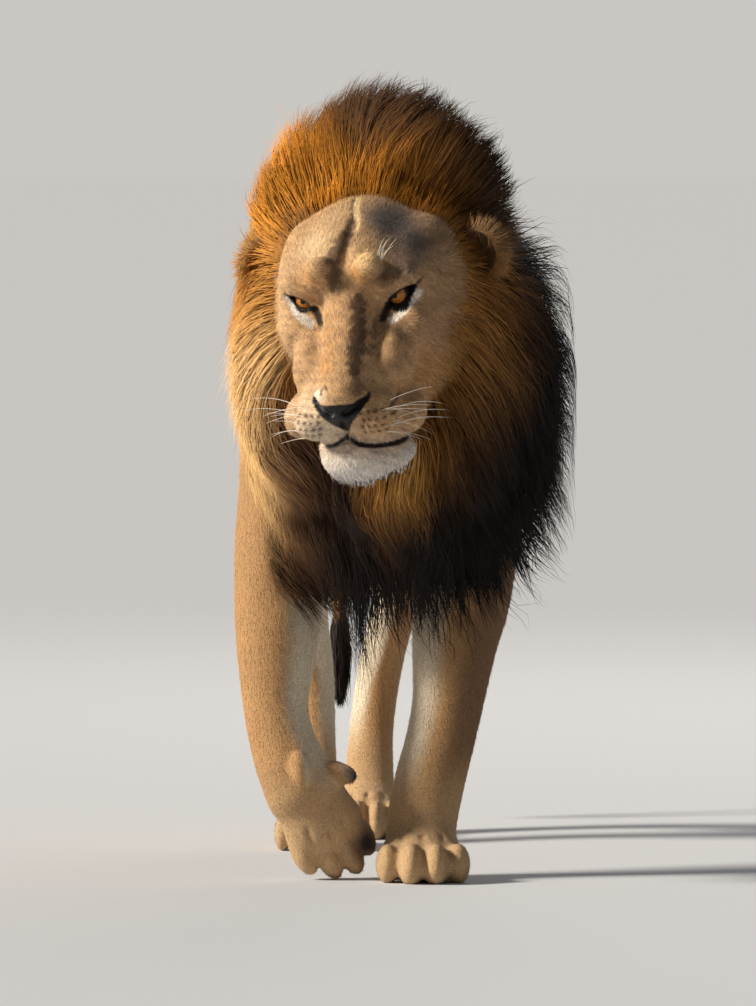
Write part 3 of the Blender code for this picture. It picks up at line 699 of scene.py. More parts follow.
def make_fields():
    """The skin, and the mane's outer form."""
    outer = make_mane_field(0.0)
    whole = make_body_field()
    whole.join(..., make_mane_field(MANE_DEPTH).value, MANE_BLEND)
    skin = resampled(whole, FINE)
    skin.limb(drawn_in(TAIL, 0.006), 0.02)
    for sizes in PLANTED.values():
        planted_paw(skin, *sizes)
    hanging_paw(skin)
    add_head(skin)
    for sign in (1, -1):
        add_ear(skin, sign)
    height = FINE[2][None, None, :].astype(np.float32)
    skin.value = np.maximum(skin.value, SOLE_CLEAR - height)
    return skin, outer


# ---------------------------------------------------------------- meshes
def in_scene(name, data):
    made = bpy.data.objects.new(name, data)
    bpy.context.scene.collection.objects.link(made)
    return made


def mesh_piece(name, points, faces, material):
    """A smooth-shaded mesh from arrays; faces is one array of triangles or quads."""
    mesh = bpy.data.meshes.new(name)
    count, sides = faces.shape
    mesh.vertices.add(len(points))
    mesh.vertices.foreach_set("co", (points + np.array(SHIFT)).astype(np.float32).ravel())
    mesh.loops.add(count * sides)
    mesh.loops.foreach_set("vertex_index", faces.astype(np.int32).ravel())
    mesh.polygons.add(count)
    mesh.polygons.foreach_set("loop_start", np.arange(count, dtype=np.int32) * sides)
    mesh.polygons.foreach_set("loop_total", np.full(count, sides, np.int32))
    mesh.polygons.foreach_set("use_smooth", np.full(count, True))
    mesh.update(calc_edges=True)
    mesh.materials.append(material)
    made = in_scene(name, mesh)
    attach(made, "root")
    return made


def paint(piece, colours, leather=None):
    """Gives the mesh its tint and, where it has some, its share of bare wet skin."""
    rows = np.ones((len(colours), 4), np.float32)
    rows[:, :3] = colours
    layer = piece.data.attributes.new("tint", "FLOAT_COLOR", "POINT")
    layer.data.foreach_set("color", rows.ravel())
    if leather is not None:
        layer = piece.data.attributes.new("leather", "FLOAT", "POINT")
        layer.data.foreach_set("value", leather.astype(np.float32))


def fetched(things, name, width, kind=np.float32):
    """One property of all vertices, loops or triangles, as rows."""
    values = np.empty(len(things) * width, kind)
    things.foreach_get(name, values)
    return values.reshape(-1, width)


def points_of(mesh):
    return fetched(mesh.vertices, "co", 3).astype(float) - np.array(SHIFT)


def linear(*rgb):
    """8-bit screen colour to linear."""
    value = np.array(rgb) / 255
    return np.where(value < 0.04045, value / 12.92, ((value + 0.055) / 1.055) ** 2.4)


# ---------------------------------------------------------------- materials
def set_inputs(made, inputs):
    for name, value in inputs.items():
        made.inputs[name.replace("_", " ")].default_value = value


def node(tree, kind, **inputs):
    made = tree.nodes.new(kind)
    set_inputs(made, inputs)
    return made


def wire(tree, *links):
    for start, output, end, entry in links:
        tree.links.new(start.outputs[output], end.inputs[entry])


def new_material(name, **inputs):
    made = bpy.data.materials.new(name)
    made.use_nodes = True
    shader = made.node_tree.nodes["Principled BSDF"]
    set_inputs(shader, inputs)
    return made, made.node_tree, shader


def coat_material(name, grain, bump, roughness, low, high, stretch=(1, 1, 1), **inputs):
    """Painted tint, broken up by fine noise in colour and bump, and smoother where it is leather."""
    made, tree, shader = new_material(name, **inputs)
    tint, wet = node(tree, "ShaderNodeAttribute"), node(tree, "ShaderNodeAttribute")
    tint.attribute_name, wet.attribute_name = "tint", "leather"
    place = node(tree, "ShaderNodeTexCoord")
    turn = node(tree, "ShaderNodeMapping", Scale=stretch)
    noise = node(tree, "ShaderNodeTexNoise", Scale=grain, Detail=4.0, Roughness=0.6)
    spread = node(tree, "ShaderNodeMapRange", From_Min=0.3, From_Max=0.7, To_Min=low, To_Max=high)
    scaled = node(tree, "ShaderNodeVectorMath")
    scaled.operation = "SCALE"
    rough = node(tree, "ShaderNodeMapRange", To_Min=roughness, To_Max=LEATHER_ROUGH)
    raised = node(tree, "ShaderNodeBump", Strength=bump, Distance=0.002)
    wire(
        tree,
        (place, "Object", turn, "Vector"),
        (turn, "Vector", noise, "Vector"),
        (noise, "Fac", spread, "Value"),
        (tint, "Color", scaled, 0),
        (spread, "Result", scaled, "Scale"),
        (scaled, "Vector", shader, "Base Color"),
        (wet, "Fac", rough, "Value"),
        (rough, "Result", shader, "Roughness"),
        (noise, "Fac", raised, "Height"),
        (raised, "Normal", shader, "Normal"),
    )
    return made


SKIN_TONE, LEATHER_ROUGH = 0.85, 0.34  # skin is darker than the fur over it
COAT = {"Sheen_Weight": 0.05, "Specular_IOR_Level": 0.3}
WET = {"Specular_IOR_Level": 0.12, "Coat_Weight": 0.35, "Coat_Roughness": 0.03}
# name, grain, bump, roughness, darkest and lightest share of the tint
SKIN = coat_material("short_coat_skin", 420.0, 0.6, 0.85, 0.62, 1.3, **COAT)
FUR = coat_material("short_coat_tufts", 260.0, 0.2, 0.70, 0.8, 1.2, **COAT)
LOCKS = coat_material("mane_hair", 160.0, 0.15, 0.58, 0.85, 1.2, (1, 1, 0.25), Specular_IOR_Level=0.14)
EYE = coat_material("eye_wet", 900.0, 0.05, 0.18, 0.85, 1.15, **WET)
BRISTLE = coat_material("whisker_bristle", 300.0, 0.05, 0.4, 0.9, 1.1, Specular_IOR_Level=0.3)


# ---------------------------------------------------------------- markings
TAWNY = linear(200, 154, 102)
TAWNY_DARK = linear(150, 110, 74)
CREAM = linear(236, 218, 190)
IVORY = (240, 232, 222)
WHITE = linear(*IVORY)
GOLD = linear(202, 140, 66)
GOLD_LIT = linear(226, 174, 104)
RUST = linear(210, 136, 38)
BROWN = linear(104, 70, 44)
DARK = linear(26, 18, 14)
BLACK = linear(14, 11, 10)


def mixed(colours, new, share):
    share = np.clip(share, 0, 1)[:, None]
    return colours * (1 - share) + new * share


def layered(colours, *layers):
    """The colours with each layer (new, share) laid over the ones before it."""
    for new, share in layers:
        colours = mixed(colours, new, share)
    return colours


def blob(points, centre, radii, turn=(0, 0, 0)):
    """1 at the centre, falling off to 0 past the radii."""
    own = (points - np.array(centre)) @ np.array(turned(turn).to_3x3())
    far = (own / np.array(radii)) ** 2
    return np.exp(-1.2 * far.sum(axis=1))


def path_distance(points, path):
    """Distance from points to a line of straight pieces."""
    nearest = np.full(len(points), 1.0)
    for a, b in zip(np.array(path)[:-1], np.array(path)[1:]):
        along = b - a
        share = np.clip((points - a) @ along / (along @ along), 0, 1)
        nearest = np.minimum(nearest, np.linalg.norm(points - a - share[:, None] * along, axis=1))
    return nearest


def line_distance(own, path, sign=1):
    """Distance in head frame to a line on one side of the face, where depth counts a quarter."""
    return path_distance(own * (1, 0.25, 1), [(sign * x, 0.25 * y, z) for x, y, z in path])


def head_reach(own):
    """Distance in head frame from between the eyes, on a head taken as an egg."""
    return np.linalg.norm(own * (1, 0.8, 0.8), axis=1)


def ripple(points, scale, seed):
    """Smooth noise from -1 to 1: a sum of waves in set directions."""
    rng = np.random.default_rng(seed)
    total = np.zeros(len(points))
    for _ in range(7):
        wave = unit(rng.normal(size=3)) * scale * rng.uniform(0.6, 1.9)
        total += np.sin(points @ wave + rng.uniform(0, 6.3))
    return total / 3.2


FACE_TAN, FACE_BROWN = linear(210, 166, 118), linear(132, 98, 70)
FACE_MARKS_AND_PAINTED_LIGHT = [  # centre, radii, screen colour, strength; the coat's marks, and painted light and shade where noted
    # painted light: the forehead and temple paler on the -x side, towards the key light
    ((-0.050, 0.020, 0.078), (0.036, 0.050, 0.030), (234, 200, 154), 0.85),
    ((-0.030, 0.080, 0.100), (0.040, 0.040, 0.020), (214, 176, 130), 0.60),
    ((-0.086, 0.030, 0.040), (0.024, 0.050, 0.030), (198, 160, 120), 0.60),
    # painted shade: forehead, temple, brow side, head behind the cheek and cheek darker on the +x side, away
    # from the key light
    ((0.054, 0.075, 0.092), (0.048, 0.060, 0.040), (96, 86, 80), 1.20),
    ((0.086, 0.050, 0.062), (0.036, 0.055, 0.036), (104, 90, 82), 1.10),
    ((0.080, 0.005, 0.045), (0.024, 0.040, 0.022), (128, 106, 92), 0.85),
    ((0.112, 0.100, -0.020), (0.034, 0.070, 0.060), (120, 92, 70), 0.85),
    ((0.104, 0.010, -0.055), (0.032, 0.050, 0.038), (160, 122, 92), 0.70),
    ((0.092, 0.020, -0.115), (0.036, 0.060, 0.034), (196, 140, 78), 0.70),
    # painted light: the cheek paler on the -x side, towards the key light
    ((-0.088, 0.030, -0.060), (0.030, 0.060, 0.060), (222, 186, 142), 0.65),
    ((-0.053, -0.013, 0.045), (0.018, 0.030, 0.018), (206, 150, 88), 0.80),
    # pale fur on the brow bump, partly painted light where the bump stands out into the light
    ((0.030, -0.008, 0.060), (0.017, 0.030, 0.014), (244, 206, 146), 1.10),
    ((0.018, -0.020, 0.043), (0.015, 0.025, 0.014), (210, 150, 84), 0.85),
    ((0.054, -0.016, 0.036), (0.013, 0.025, 0.010), (84, 52, 34), 0.90),
    ((-0.023, -0.122, -0.052), (0.017, 0.030, 0.016), (212, 150, 82), 0.75),
    ((-0.032, -0.158, -0.085), (0.016, 0.022, 0.007), (242, 228, 206), 1.00),
    # painted shade on the +x side above the nose leather
    ((0.028, -0.150, -0.080), (0.016, 0.030, 0.014), (100, 70, 50), 0.70),
    # the whisker pads, pale in their own colour, with painted shade on the +x one and painted light on the -x
    # one
    ((0.040, -0.125, -0.130), (0.036, 0.055, 0.030), (212, 172, 126), 0.85),
    ((-0.036, -0.125, -0.132), (0.040, 0.060, 0.034), (246, 226, 196), 1.20),
    ((0.068, -0.080, -0.120), (0.022, 0.040, 0.028), (198, 150, 98), 0.70),
    ((0.068, -0.030, -0.037), (0.013, 0.022, 0.013), (70, 54, 44), 0.70),
    ((MOUTH_SHIFT, -0.110, -0.200), (0.056, 0.070, 0.036), IVORY, 1.50),
    ((MOUTH_SHIFT, -0.060, -0.225), (0.050, 0.060, 0.030), IVORY, 1.10),
    ((0.060, -0.080, -0.196), (0.030, 0.050, 0.014), IVORY, 1.20),
    ((0.006, -0.140, -0.178), (0.026, 0.024, 0.008), (120, 106, 96), 0.60),
]
FACE_STROKES = [  # path, half width, screen colour, strength
    ([(-0.004, 0.125, 0.108), (0.006, 0.060, 0.101), (0.002, 0.020, 0.088)], 0.0060, (60, 46, 38), 0.75),
    (
        [(0, 0.020, 0.088), (-0.010, 0.002, 0.078), (-0.018, -0.014, 0.054), (-0.017, -0.024, 0.030)],
        0.0120, (78, 58, 44), 0.80,
    ),
    # the bridge's -x side golden: the coat's gold, partly painted light on the side towards the key light
    (
        [(-0.026, -0.035, 0.012), (-0.024, -0.070, -0.015), (-0.017, -0.110, -0.042)],
        0.0120, (200, 152, 98), 0.80,
    ),
    # painted shade on the bridge's +x side, away from the key light
    ([(0.018, -0.030, 0.008), (0.022, -0.090, -0.034), (0.024, -0.132, -0.060)], 0.0120, (84, 60, 44), 0.90),
    # painted shade in the crease beside the bridge, below the +x eye
    ([(0.046, -0.020, -0.020), (0.038, -0.052, -0.032), (0.042, -0.086, -0.052)], 0.0080, (78, 58, 46), 0.70),
    (
        [(-0.026, -0.136, -0.063), (-0.020, -0.150, -0.070), (-0.009, -0.170, -0.079)],
        0.0022, (58, 42, 34), 0.85,
    ),
]
STREAK = metres([(-1, 132, 109), (1, 110, 108), (12, 40, 96)])
SCARS = [
    [(-0.020, -0.155, -0.070), (-0.022, -0.160, -0.082)],
    [(0.095, 0.120, 0.040), (0.101, 0.122, 0.026)],
    [(0.104, 0.138, 0.005), (0.109, 0.138, 0.002)],
    [(0.122, 0.128, -0.007), (0.127, 0.128, -0.012)],
    [(0.036, -0.080, -0.044), (0.037, -0.088, -0.050)],
    [(-0.034, -0.100, -0.040), (-0.020, -0.112, -0.040)],
]
WHISKER_SPOTS = [  # left side; the right mirrors them
    (0.030 + 0.0095 * column + 0.002 * (row % 2), -0.160 + 0.011 * column, -0.113 - 0.0095 * row)
    for row in range(4)
    for column in range(5 - row // 2)
]


def nose_pad(own):
    """How far into the bare nose leather a point in head frame is, below 0 inside."""
    x, y, z = np.abs(own[:, 0] - 0.001), own[:, 1], own[:, 2]
    top = -0.094 - 0.10 * x + 40 * np.maximum(x - 0.024, 0) ** 2
    side = 0.0030 + 0.0380 * np.clip((z + 0.148) / 0.050, 0, 1) ** 1.35
    flat = np.maximum(np.maximum(z - top, x - side), -0.150 - z)
    return np.maximum(flat, (y + 0.134) * 0.8)


def paint_side(own, sign, colours, leather):
    """The mouth, lids, tear line and whisker spots of one side of the face."""
    near = (own[:, 1] < -0.05) & (own[:, 1] > -0.20)
    for x, _, z in WHISKER_SPOTS:
        far = np.linalg.norm((own * (sign, 1, 1))[:, [0, 2]] - (x, z), axis=1)
        colours = mixed(colours, linear(84, 52, 34), smooth(far, 0.0040, 0.0016) * near * 0.85)
    mouth = line_distance(own, MOUTH, sign)
    under = line_distance(own, UNDER_EYE[sign], sign)
    along, up, inward = eye_axes(own, sign)
    in_front = inward < 0.03
    rim = np.where(in_front, opening(along, up), 1.0)
    wide = 0.0034 + 0.0022 * np.clip(-along / EYE_HALF, -0.6, 1)
    wide = wide + 0.0020 * smooth(along, 0.006, -0.012) * (up < 0)
    liner = np.abs(up - 0.0010 + 0.10 * np.maximum(along - EYE_HALF, 0)) * 1.6
    liner = np.where((along > 0.012) & in_front, liner + np.maximum(along - 0.034, 0), 1.0)
    speck = blob(own, (sign * 0.064, -0.014, -0.040), (0.022, 0.03, 0.012))
    colours = layered(
        colours,
        (BLACK, smooth(mouth, 0.0042, 0.0024) * (own[:, 1] < -0.005)),
        (linear(244, 232, 216), smooth(under, 0.0060, 0.0034) * in_front * 1.1),
        (BLACK, smooth(liner, 0.0052, 0.0030) * 0.9),
        (BLACK, smooth(rim, wide + 0.0012, wide - 0.0002)),
        (BLACK, smooth(line_distance(own, TEAR, sign), 0.0080, 0.0045) * 0.95),
        (linear(60, 46, 40), speck * smooth(ripple(own, 900, 5), 0.25, 0.7) * 0.9),
    )
    leather = np.maximum(leather, 0.6 * smooth(mouth, 0.0045, 0.0035))
    return colours, np.maximum(leather, smooth(rim, 0.0042, 0.0028))


def paint_face(own):
    """Colour and bare-skin share of the face at points in head frame."""
    colours = np.tile(FACE_TAN, (len(own), 1))
    colours = mixed(colours, FACE_BROWN, 0.16 + 0.24 * ripple(own, 150, 21))
    leather = np.zeros(len(own))
    for centre, radii, colour, strength in FACE_MARKS_AND_PAINTED_LIGHT:
        colours = mixed(colours, linear(*colour), strength * blob(own, centre, radii))
    coarse, fine = ripple(own, 320, 23), ripple(own, 900, 25)
    for path, half, colour, strength in FACE_STROKES:
        far = path_distance(own, path) + 0.35 * half * coarse + 0.2 * half * fine
        colours = mixed(colours, linear(*colour), smooth(far, 1.5 * half, 0.5 * half) * strength)
    colours = mixed(colours, linear(240, 206, 150), smooth(path_distance(own, STREAK), 0.0065, 0.0030))
    for scar in SCARS:
        far = path_distance(own, scar)
        colours = mixed(colours, linear(40, 28, 24), smooth(far, 0.004, 0.0012) * 0.9)
    for sign in (1, -1):
        colours, leather = paint_side(own, sign, colours, leather)
    pad = nose_pad(own)
    philtrum = line_distance(own, PHILTRUM)
    colours = layered(
        colours,
        (linear(11, 8, 7), smooth(pad, 0.0012, -0.0006)),
        (BLACK, smooth(philtrum, 0.0042, 0.0024) * (own[:, 1] < -0.09)),
    )
    leather = np.maximum(leather, smooth(pad, 0.001, -0.001))
    return colours, np.maximum(leather, smooth(philtrum, 0.0055, 0.0040))


def mane_reach(points):
    """0 at the face, about 1 where gold hair turns dark, more beyond it."""
    x, y, z = (points - np.array((-0.022, 0, 0.800))).T
    below = smooth(-z, 0, 0.15)
    x = x - 0.05 * below
    wide = np.where(x < 0, 0.290 - 0.060 * below, 0.238)
    tall = np.where(z < 0, 0.335, 0.36)
    power = 2 - 0.7 * below  # a pointed bib below the chin
    flat = (np.abs(x / wide) ** power + np.abs(z / tall) ** power) ** (1 / power)
    return flat + 2.0 * np.clip(y + 0.12, 0, 0.6)


def sleeve(points):
    """The upper part of the right foreleg, where the mane runs out into longer brown fur."""
    upper = smooth(points[:, 2], 0.385, 0.430)
    return blob(points, (-0.105, -0.090, 0.475), (0.050, 0.090, 0.090)) * upper


def mane_tint(points):
    """Gold round the face, rust on the crest, dark further out and paler where the sun falls."""
    x, y, z = points.T
    reach = mane_reach(points) + 0.08 * ripple(points, 26, 3) + 0.05 * ripple(points, 90, 4)
    bib = smooth(np.abs(x - 0.030 + 0.10 * (z - 0.56)), 0.060, 0.020) * smooth(z, 0.50, 0.55)
    reach = reach + 0.13 * smooth(z, 0.80, 0.62) * (1 - bib) - 0.12 * bib * smooth(z, 0.66, 0.60)
    front = smooth(y, -0.04, -0.18)
    crown = front * smooth(z, 0.88, 0.96)
    lit_side = smooth(x, -0.02, -0.12) * smooth(z, 0.75, 0.60)
    shoulder = smooth(x, -0.105, -0.155) * smooth(z, 0.82, 0.70) * smooth(y, 0.00, -0.10)
    own = in_head(points)
    brow_line = smooth(behind_hairline(own), 0.045, 0.012) * smooth(own[:, 2], 0.02, 0.07)
    return layered(
        np.tile(GOLD_LIT, (len(points), 1)),
        (GOLD, np.maximum(smooth(reach, 0.50, 0.76), smooth(z, 0.72, 0.82))),
        (RUST, smooth(z, 0.92, 0.99) * front),
        (BROWN, smooth(z, 0.97, 1.05) * smooth(x, -0.10, 0.04) * 0.50),
        (linear(132, 88, 46), smooth(x, 0.05, 0.14) * 0.6),  # the side away from the light
        (BROWN, smooth(reach, 0.86, 1.02) * (1 - 0.7 * front * smooth(z, 0.86, 0.94))),
        (DARK, smooth(reach, 0.96, 1.14) * (1 - 0.65 * lit_side) * (1 - 0.8 * crown)),
        (linear(118, 84, 54), lit_side * smooth(x, -0.05, -0.13) * front * 0.7),
        (linear(224, 180, 122), shoulder * 0.9),
        # painted shade: black on the outer mane's +x side, away from the light, over its own dark colour
        (BLACK, smooth(x, 0.04, 0.14) * smooth(reach, 0.95, 1.15) * 0.7),
        (linear(52, 44, 40), smooth(z, 1.070, 1.115) * smooth(x, -0.16, -0.04) * 0.85),  # crest's tips
        # painted shade: the crown's +x side darker, over the mane's own dark colour
        (DARK, crown * smooth(x, 0.10, 0.17) * 0.8),
        (linear(84, 62, 44), brow_line * (own[:, 1] < 0.22) * 0.75),
        (WHITE, blob(own, (MOUTH_SHIFT, -0.095, -0.222), (0.050, 0.060, 0.022))),
    )


EAR_PLACES = [HEAD @ on_side(sign, EAR_SEAT, EAR_TURN) for sign in (1, -1)]


def ear_share(points):
    """1 on the ears, 0 away from them."""
    share = np.zeros(len(points))
    for place in EAR_PLACES:
        far = np.sqrt(((into(place, points) / np.array(EAR_RADII)) ** 2).sum(axis=1))
        share = np.maximum(share, smooth(far, 1.25, 1.05))
    return share


def coat_tint(points, normals, outer):
    """Colour and bare-skin share of the short coat."""
    x, y, z = points.T
    belly = smooth(-normals[:, 2], 0.2, 0.85) * smooth(z, 0.50, 0.54) * smooth(y, 0.05, 0.20)
    outwards = normals[:, 0] * np.sign(x + TRUNK_DRIFT * np.clip(y, 0, 2))
    inner = smooth(-outwards, 0.05, 0.60) * smooth(z, 0.70, 0.55) * smooth(z, 0.10, 0.20)
    shaded_leg = smooth(outwards, -0.20, 0.50) * smooth(z, 0.62, 0.52) * smooth(z, 0.08, 0.20)
    colours = layered(
        np.tile(TAWNY, (len(points), 1)),
        (TAWNY_DARK, 0.22 + 0.12 * ripple(points, 60, 11)),
        (linear(150, 112, 76), smooth(z, 0.88, 1.03) * 0.5),  # back
        (CREAM, belly * 0.6),
        (CREAM, inner),
        (linear(112, 84, 60), shaded_leg * (x > 0) * (y < 0.25) * 0.8),
        (linear(214, 182, 140), smooth(z, 0.20, 0.05) * 0.6),  # feet
        (DARK, smooth(z, 0.34, 0.29) * smooth(y, 1.06, 1.09)),  # end of the tail
    )
    own = in_head(points)
    head = smooth(own[:, 1], 0.20, 0.16) * (head_reach(own) < 0.26)
    face, leather = paint_face(own)
    fleck = (0.15 * ripple(own, 450, 22) + 0.16 * ripple(own, 1100, 24)) * (1 - leather)
    ears = ear_share(points)
    mane = mane_tint(points)
    colours = layered(
        colours,
        (face * (1 + fleck)[:, None], head),
        (linear(122, 88, 58), smooth(sleeve(points), 0.10, 0.55) * 0.8),
        (mane * 0.6, smooth(-outer.at(points), 0.012, 0.030)),
        (mane * 0.72, ears * 0.9),
    )
    # painted shade in the ear's hollow, lighter on the side towards the key light
    lit_ear = smooth(x, -0.05, -0.12)[:, None]
    inside = linear(98, 68, 40) * (1 - lit_ear) + linear(176, 116, 50) * lit_ear
    for place in EAR_PLACES:
        across, ahead, up = into(place, points).T
        rim = np.hypot(across / 0.036, up / 0.041)
        pale_rim = ears * smooth(np.abs(rim - 1.0), 0.22, 0.10)
        pale_rim = pale_rim * smooth(across * np.sign(place.translation[0]), 0.004, -0.012)
        colours = layered(
            colours,
            (linear(176, 134, 84), pale_rim * (ahead < 0.006) * 0.25),
            (inside, ears * smooth(rim, 1.0, 0.8) * (ahead < 0.002) * 0.9),
        )
    pads = blob(points, (-0.012, -0.075, 0.052), (0.022, 0.050, 0.032))
    pads = np.maximum(pads, blob(points, (-0.024, -0.082, 0.149), (0.019, 0.040, 0.022)))
    return mixed(colours, linear(46, 38, 36), pads * 1.1), leather * head


# ---------------------------------------------------------------- the skin
FLESH = [name for name in frame["nodes"] if not name.startswith("eye_")]
SKIN_KEPT = 0.36  # share of the net's faces that stay
FACE_KEPT = 4  # how much more the face and feet keep of them
MAP_ANGLE, MAP_GAP = 1.15, 0.0005  # of the unwrapped map's islands


def make_skin(field, outer):
    """One painted skin for all the flesh, finest on the face."""
    points, quads = net_of(field)
    skin = mesh_piece("skin", points, quads, SKIN)
    own = in_head(points)
    face = (
        smooth(np.abs(own[:, 0]), 0.15, 0.12)
        * smooth(own[:, 1], 0.10, 0.05)
        * smooth(np.abs(own[:, 2] + 0.05), 0.22, 0.19)
    )
    kept = np.round(np.maximum(face, 0.6 * smooth(points[:, 2], 0.20, 0.15)), 1)
    group = skin.vertex_groups.new(name="kept")
    for level in np.unique(kept)[1:]:
        group.add(np.nonzero(kept == level)[0].tolist(), float(level), "REPLACE")
    reduce = skin.modifiers.new("reduce", "DECIMATE")
    reduce.ratio = SKIN_KEPT
    reduce.vertex_group = "kept"
    reduce.invert_vertex_group = True
    reduce.vertex_group_factor = FACE_KEPT
    graph = bpy.context.evaluated_depsgraph_get()
    skin.data = bpy.data.meshes.new_from_object(skin.evaluated_get(graph))
    skin.modifiers.clear()
    skin.vertex_groups.clear()
    unwrap(skin)
    normals = fetched(skin.data.vertices, "normal", 3)
    colours, leather = coat_tint(points_of(skin.data), normals, outer)
    paint(skin, colours * SKIN_TONE, leather)
    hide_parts(*FLESH)
    return skin


def unwrap(piece):
    """Gives the piece the map that its materials are baked to."""
    for other in bpy.context.scene.objects:
        other.select_set(False)
    piece.select_set(True)
    bpy.context.view_layer.objects.active = piece
    bpy.ops.object.mode_set(mode="EDIT")
    bpy.ops.mesh.select_all(action="SELECT")
    bpy.ops.uv.smart_project(angle_limit=MAP_ANGLE, island_margin=MAP_GAP)
    bpy.ops.object.mode_set(mode="OBJECT")
    piece.data.uv_layers.active.name = "OFBake"


HAIR_SHARE = 1


class Ground:
    """The skin as triangles that hair grows from."""

    def __init__(self, skin):
        mesh = skin.data
        mesh.calc_loop_triangles()
        self.corners = fetched(mesh.loop_triangles, "vertices", 3, np.int32)
        self.points = points_of(mesh)
        self.normals = fetched(mesh.vertices, "normal", 3).astype(float)
        loops = fetched(mesh.loop_triangles, "loops", 3, np.int32)
        self.uv = fetched(mesh.uv_layers.active.data, "uv", 2)[loops]
        a, b, c = (self.points[self.corners[:, i]] for i in range(3))
        self.area = np.linalg.norm(np.cross(b - a, c - a), axis=1) / 2
        self.middle = (a + b + c) / 3

    def scatter(self, density, count):
        """Roots spread by density, about count of them: points, normals, map places."""
        share = np.cumsum(self.area * density)
        count = int(count * HAIR_SHARE)
        picks = (np.arange(count) + RANDOM.random(count)) * share[-1] / count
        row = np.minimum(np.searchsorted(share, picks), len(share) - 1)
        r, s = np.sqrt(RANDOM.random(count)), RANDOM.random(count)
        weights = np.stack([1 - r, r * (1 - s), r * s], axis=1)[:, :, None]
        points = (self.points[self.corners[row]] * weights).sum(axis=1)
        normals = unit((self.normals[self.corners[row]] * weights).sum(axis=1))
        return points, normals, (self.uv[row] * weights).sum(axis=1)


# ---------------------------------------------------------------- hair meshes
FLATNESS = 0.7  # a strand's thickness against half its width
STRAND_SHADING = {"mane_hair": 0.6, "short_coat_tufts": 0.35}  # a strand's own share in its normals
UV_SPAN = (0.0015, 0.003)  # a strand's place on the baked map: half across, and along
SHORT_PER_PIECE, MANE_PER_PIECE = 45_000, 8_500


def hair_piece(name, paths, normals, widths, root_tint, tip_tint, uv, profile, material, slot):
    """Closed, flattened, tapering locks. paths is (locks, stations, 3), the last is the tip."""
    count, rings = paths.shape[0], paths.shape[1] - 1
    ahead = unit(np.gradient(paths, axis=1))
    side = unit(np.cross(ahead, normals[:, None, :]))
    top = np.cross(side, ahead)
    wide = widths[:, None, None] * np.array(profile)[None, :, None] / 2
    edges = [
        paths[:, :-1] + (side * wide)[:, :-1],
        paths[:, :-1] - (side * wide)[:, :-1],
        paths[:, :-1] + (top * wide)[:, :-1] * FLATNESS,
    ]
    points = np.concatenate([np.stack(edges, axis=2).reshape(count, -1, 3), paths[:, -1:]], axis=1)
    last, per = 3 * (rings - 1), 3 * rings + 1
    faces = []
    for start in range(0, last, 3):
        for a, b in ((0, 1), (1, 2), (2, 0)):
            p, q = start + a, start + b
            faces += [(p, q, q + 3), (p, q + 3, p + 3)]
    faces += [(last + a, last + (a + 1) % 3, per - 1) for a in range(3)]
    faces.append((0, 2, 1))
    corners = (np.array(faces)[None] + (np.arange(count) * per)[:, None, None]).reshape(-1, 3)
    piece = mesh_piece(name, points.reshape(-1, 3), corners, material)
    share = np.append(np.repeat(np.arange(rings) / rings, 3), 1.0)  # 1 at the tip
    fade = share[None, :, None] ** 0.8
    tint = root_tint[:, None] * (1 - fade) + tip_tint[:, None] * fade
    paint(piece, tint.reshape(-1, 3))
    # shaded partly as the coat's whole surface, so that strands blend
    facing = np.stack([side, -side, top], axis=2)[:, :-1].reshape(count, -1, 3)
    facing = np.concatenate([facing, top[:, -1:]], axis=1)
    soft = unit(facing * STRAND_SHADING[material.name] + normals[:, None, :])
    piece.data.normals_split_custom_set_from_vertices(soft.reshape(-1, 3).astype(np.float32))
    across = np.append(np.tile((1.0, -1.0, 0.0), rings), 0.0) * UV_SPAN[0]
    spots = uv[:, None] + np.stack([across, share * UV_SPAN[1]], axis=1)[None]
    layer = piece.data.uv_layers.new(name="OFBake")
    layer.data.foreach_set("uv", spots.reshape(-1, 2)[corners.ravel()].astype(np.float32).ravel())


def in_pieces(name, order, per_piece, kept, strands, *look):
    """Hair in numbered pieces, so that none is too big: the kept ones of order, strand by strand."""
    number = max(math.ceil(len(order) / per_piece), 1)
    for i, rows in enumerate(np.array_split(order, number)):
        rows = rows[kept[rows]]
        hair_piece(f"{name}_{i + 1}", *(values[rows] for values in strands), *look)


def short_flow(points):
    """The lie of the short coat."""
    own = in_head(points)
    x, y, z = points.T
    belly = smooth(z, 0.62, 0.55) * smooth(z, 0.42, 0.50) * smooth(y, 0.15, 0.25) * smooth(y, 0.75, 0.65)
    wrist = blob(points, (-0.10, -0.08, 0.10), (0.12, 0.12, 0.12)) > 0.5
    flow = layered(
        np.tile((0.0, 1.0, -0.30), (len(points), 1)),
        (np.array((0.0, 0.18, -1.0)), smooth(z, 0.72, 0.50)),  # legs
        (np.array((0.0, 0.1, -1.0)), smooth(y, 0.10, -0.05)),  # chest
        (np.array((0.0, 1.0, -0.1)), belly),
        (np.array((0.0, -1.0, -0.45)), smooth(z, 0.10, 0.05)),  # feet
        (np.array(PAW_AXIS), wrist),
        (np.array((0.0, 0.0, -1.0)), smooth(y, 1.04, 1.10) * smooth(z, 1.0, 0.9)),  # tail
    )
    from_nose = unit(own - np.array((0, -0.185, -0.100))) @ np.array(HEAD.to_3x3()).T
    cheeks = smooth(np.abs(own[:, 0]), 0.060, 0.100) * smooth(own[:, 2], 0.07, 0.0)
    from_nose = from_nose + np.array((0, 0, -0.8)) * cheeks[:, None]
    head = (head_reach(own) < 0.25) & (own[:, 1] < 0.22)
    return unit(np.where(head[:, None], from_nose, flow))


def tangent(flow, normals):
    """The part of flow that lies along the surface."""
    return unit(flow - normals * (flow * normals).sum(axis=1, keepdims=True))


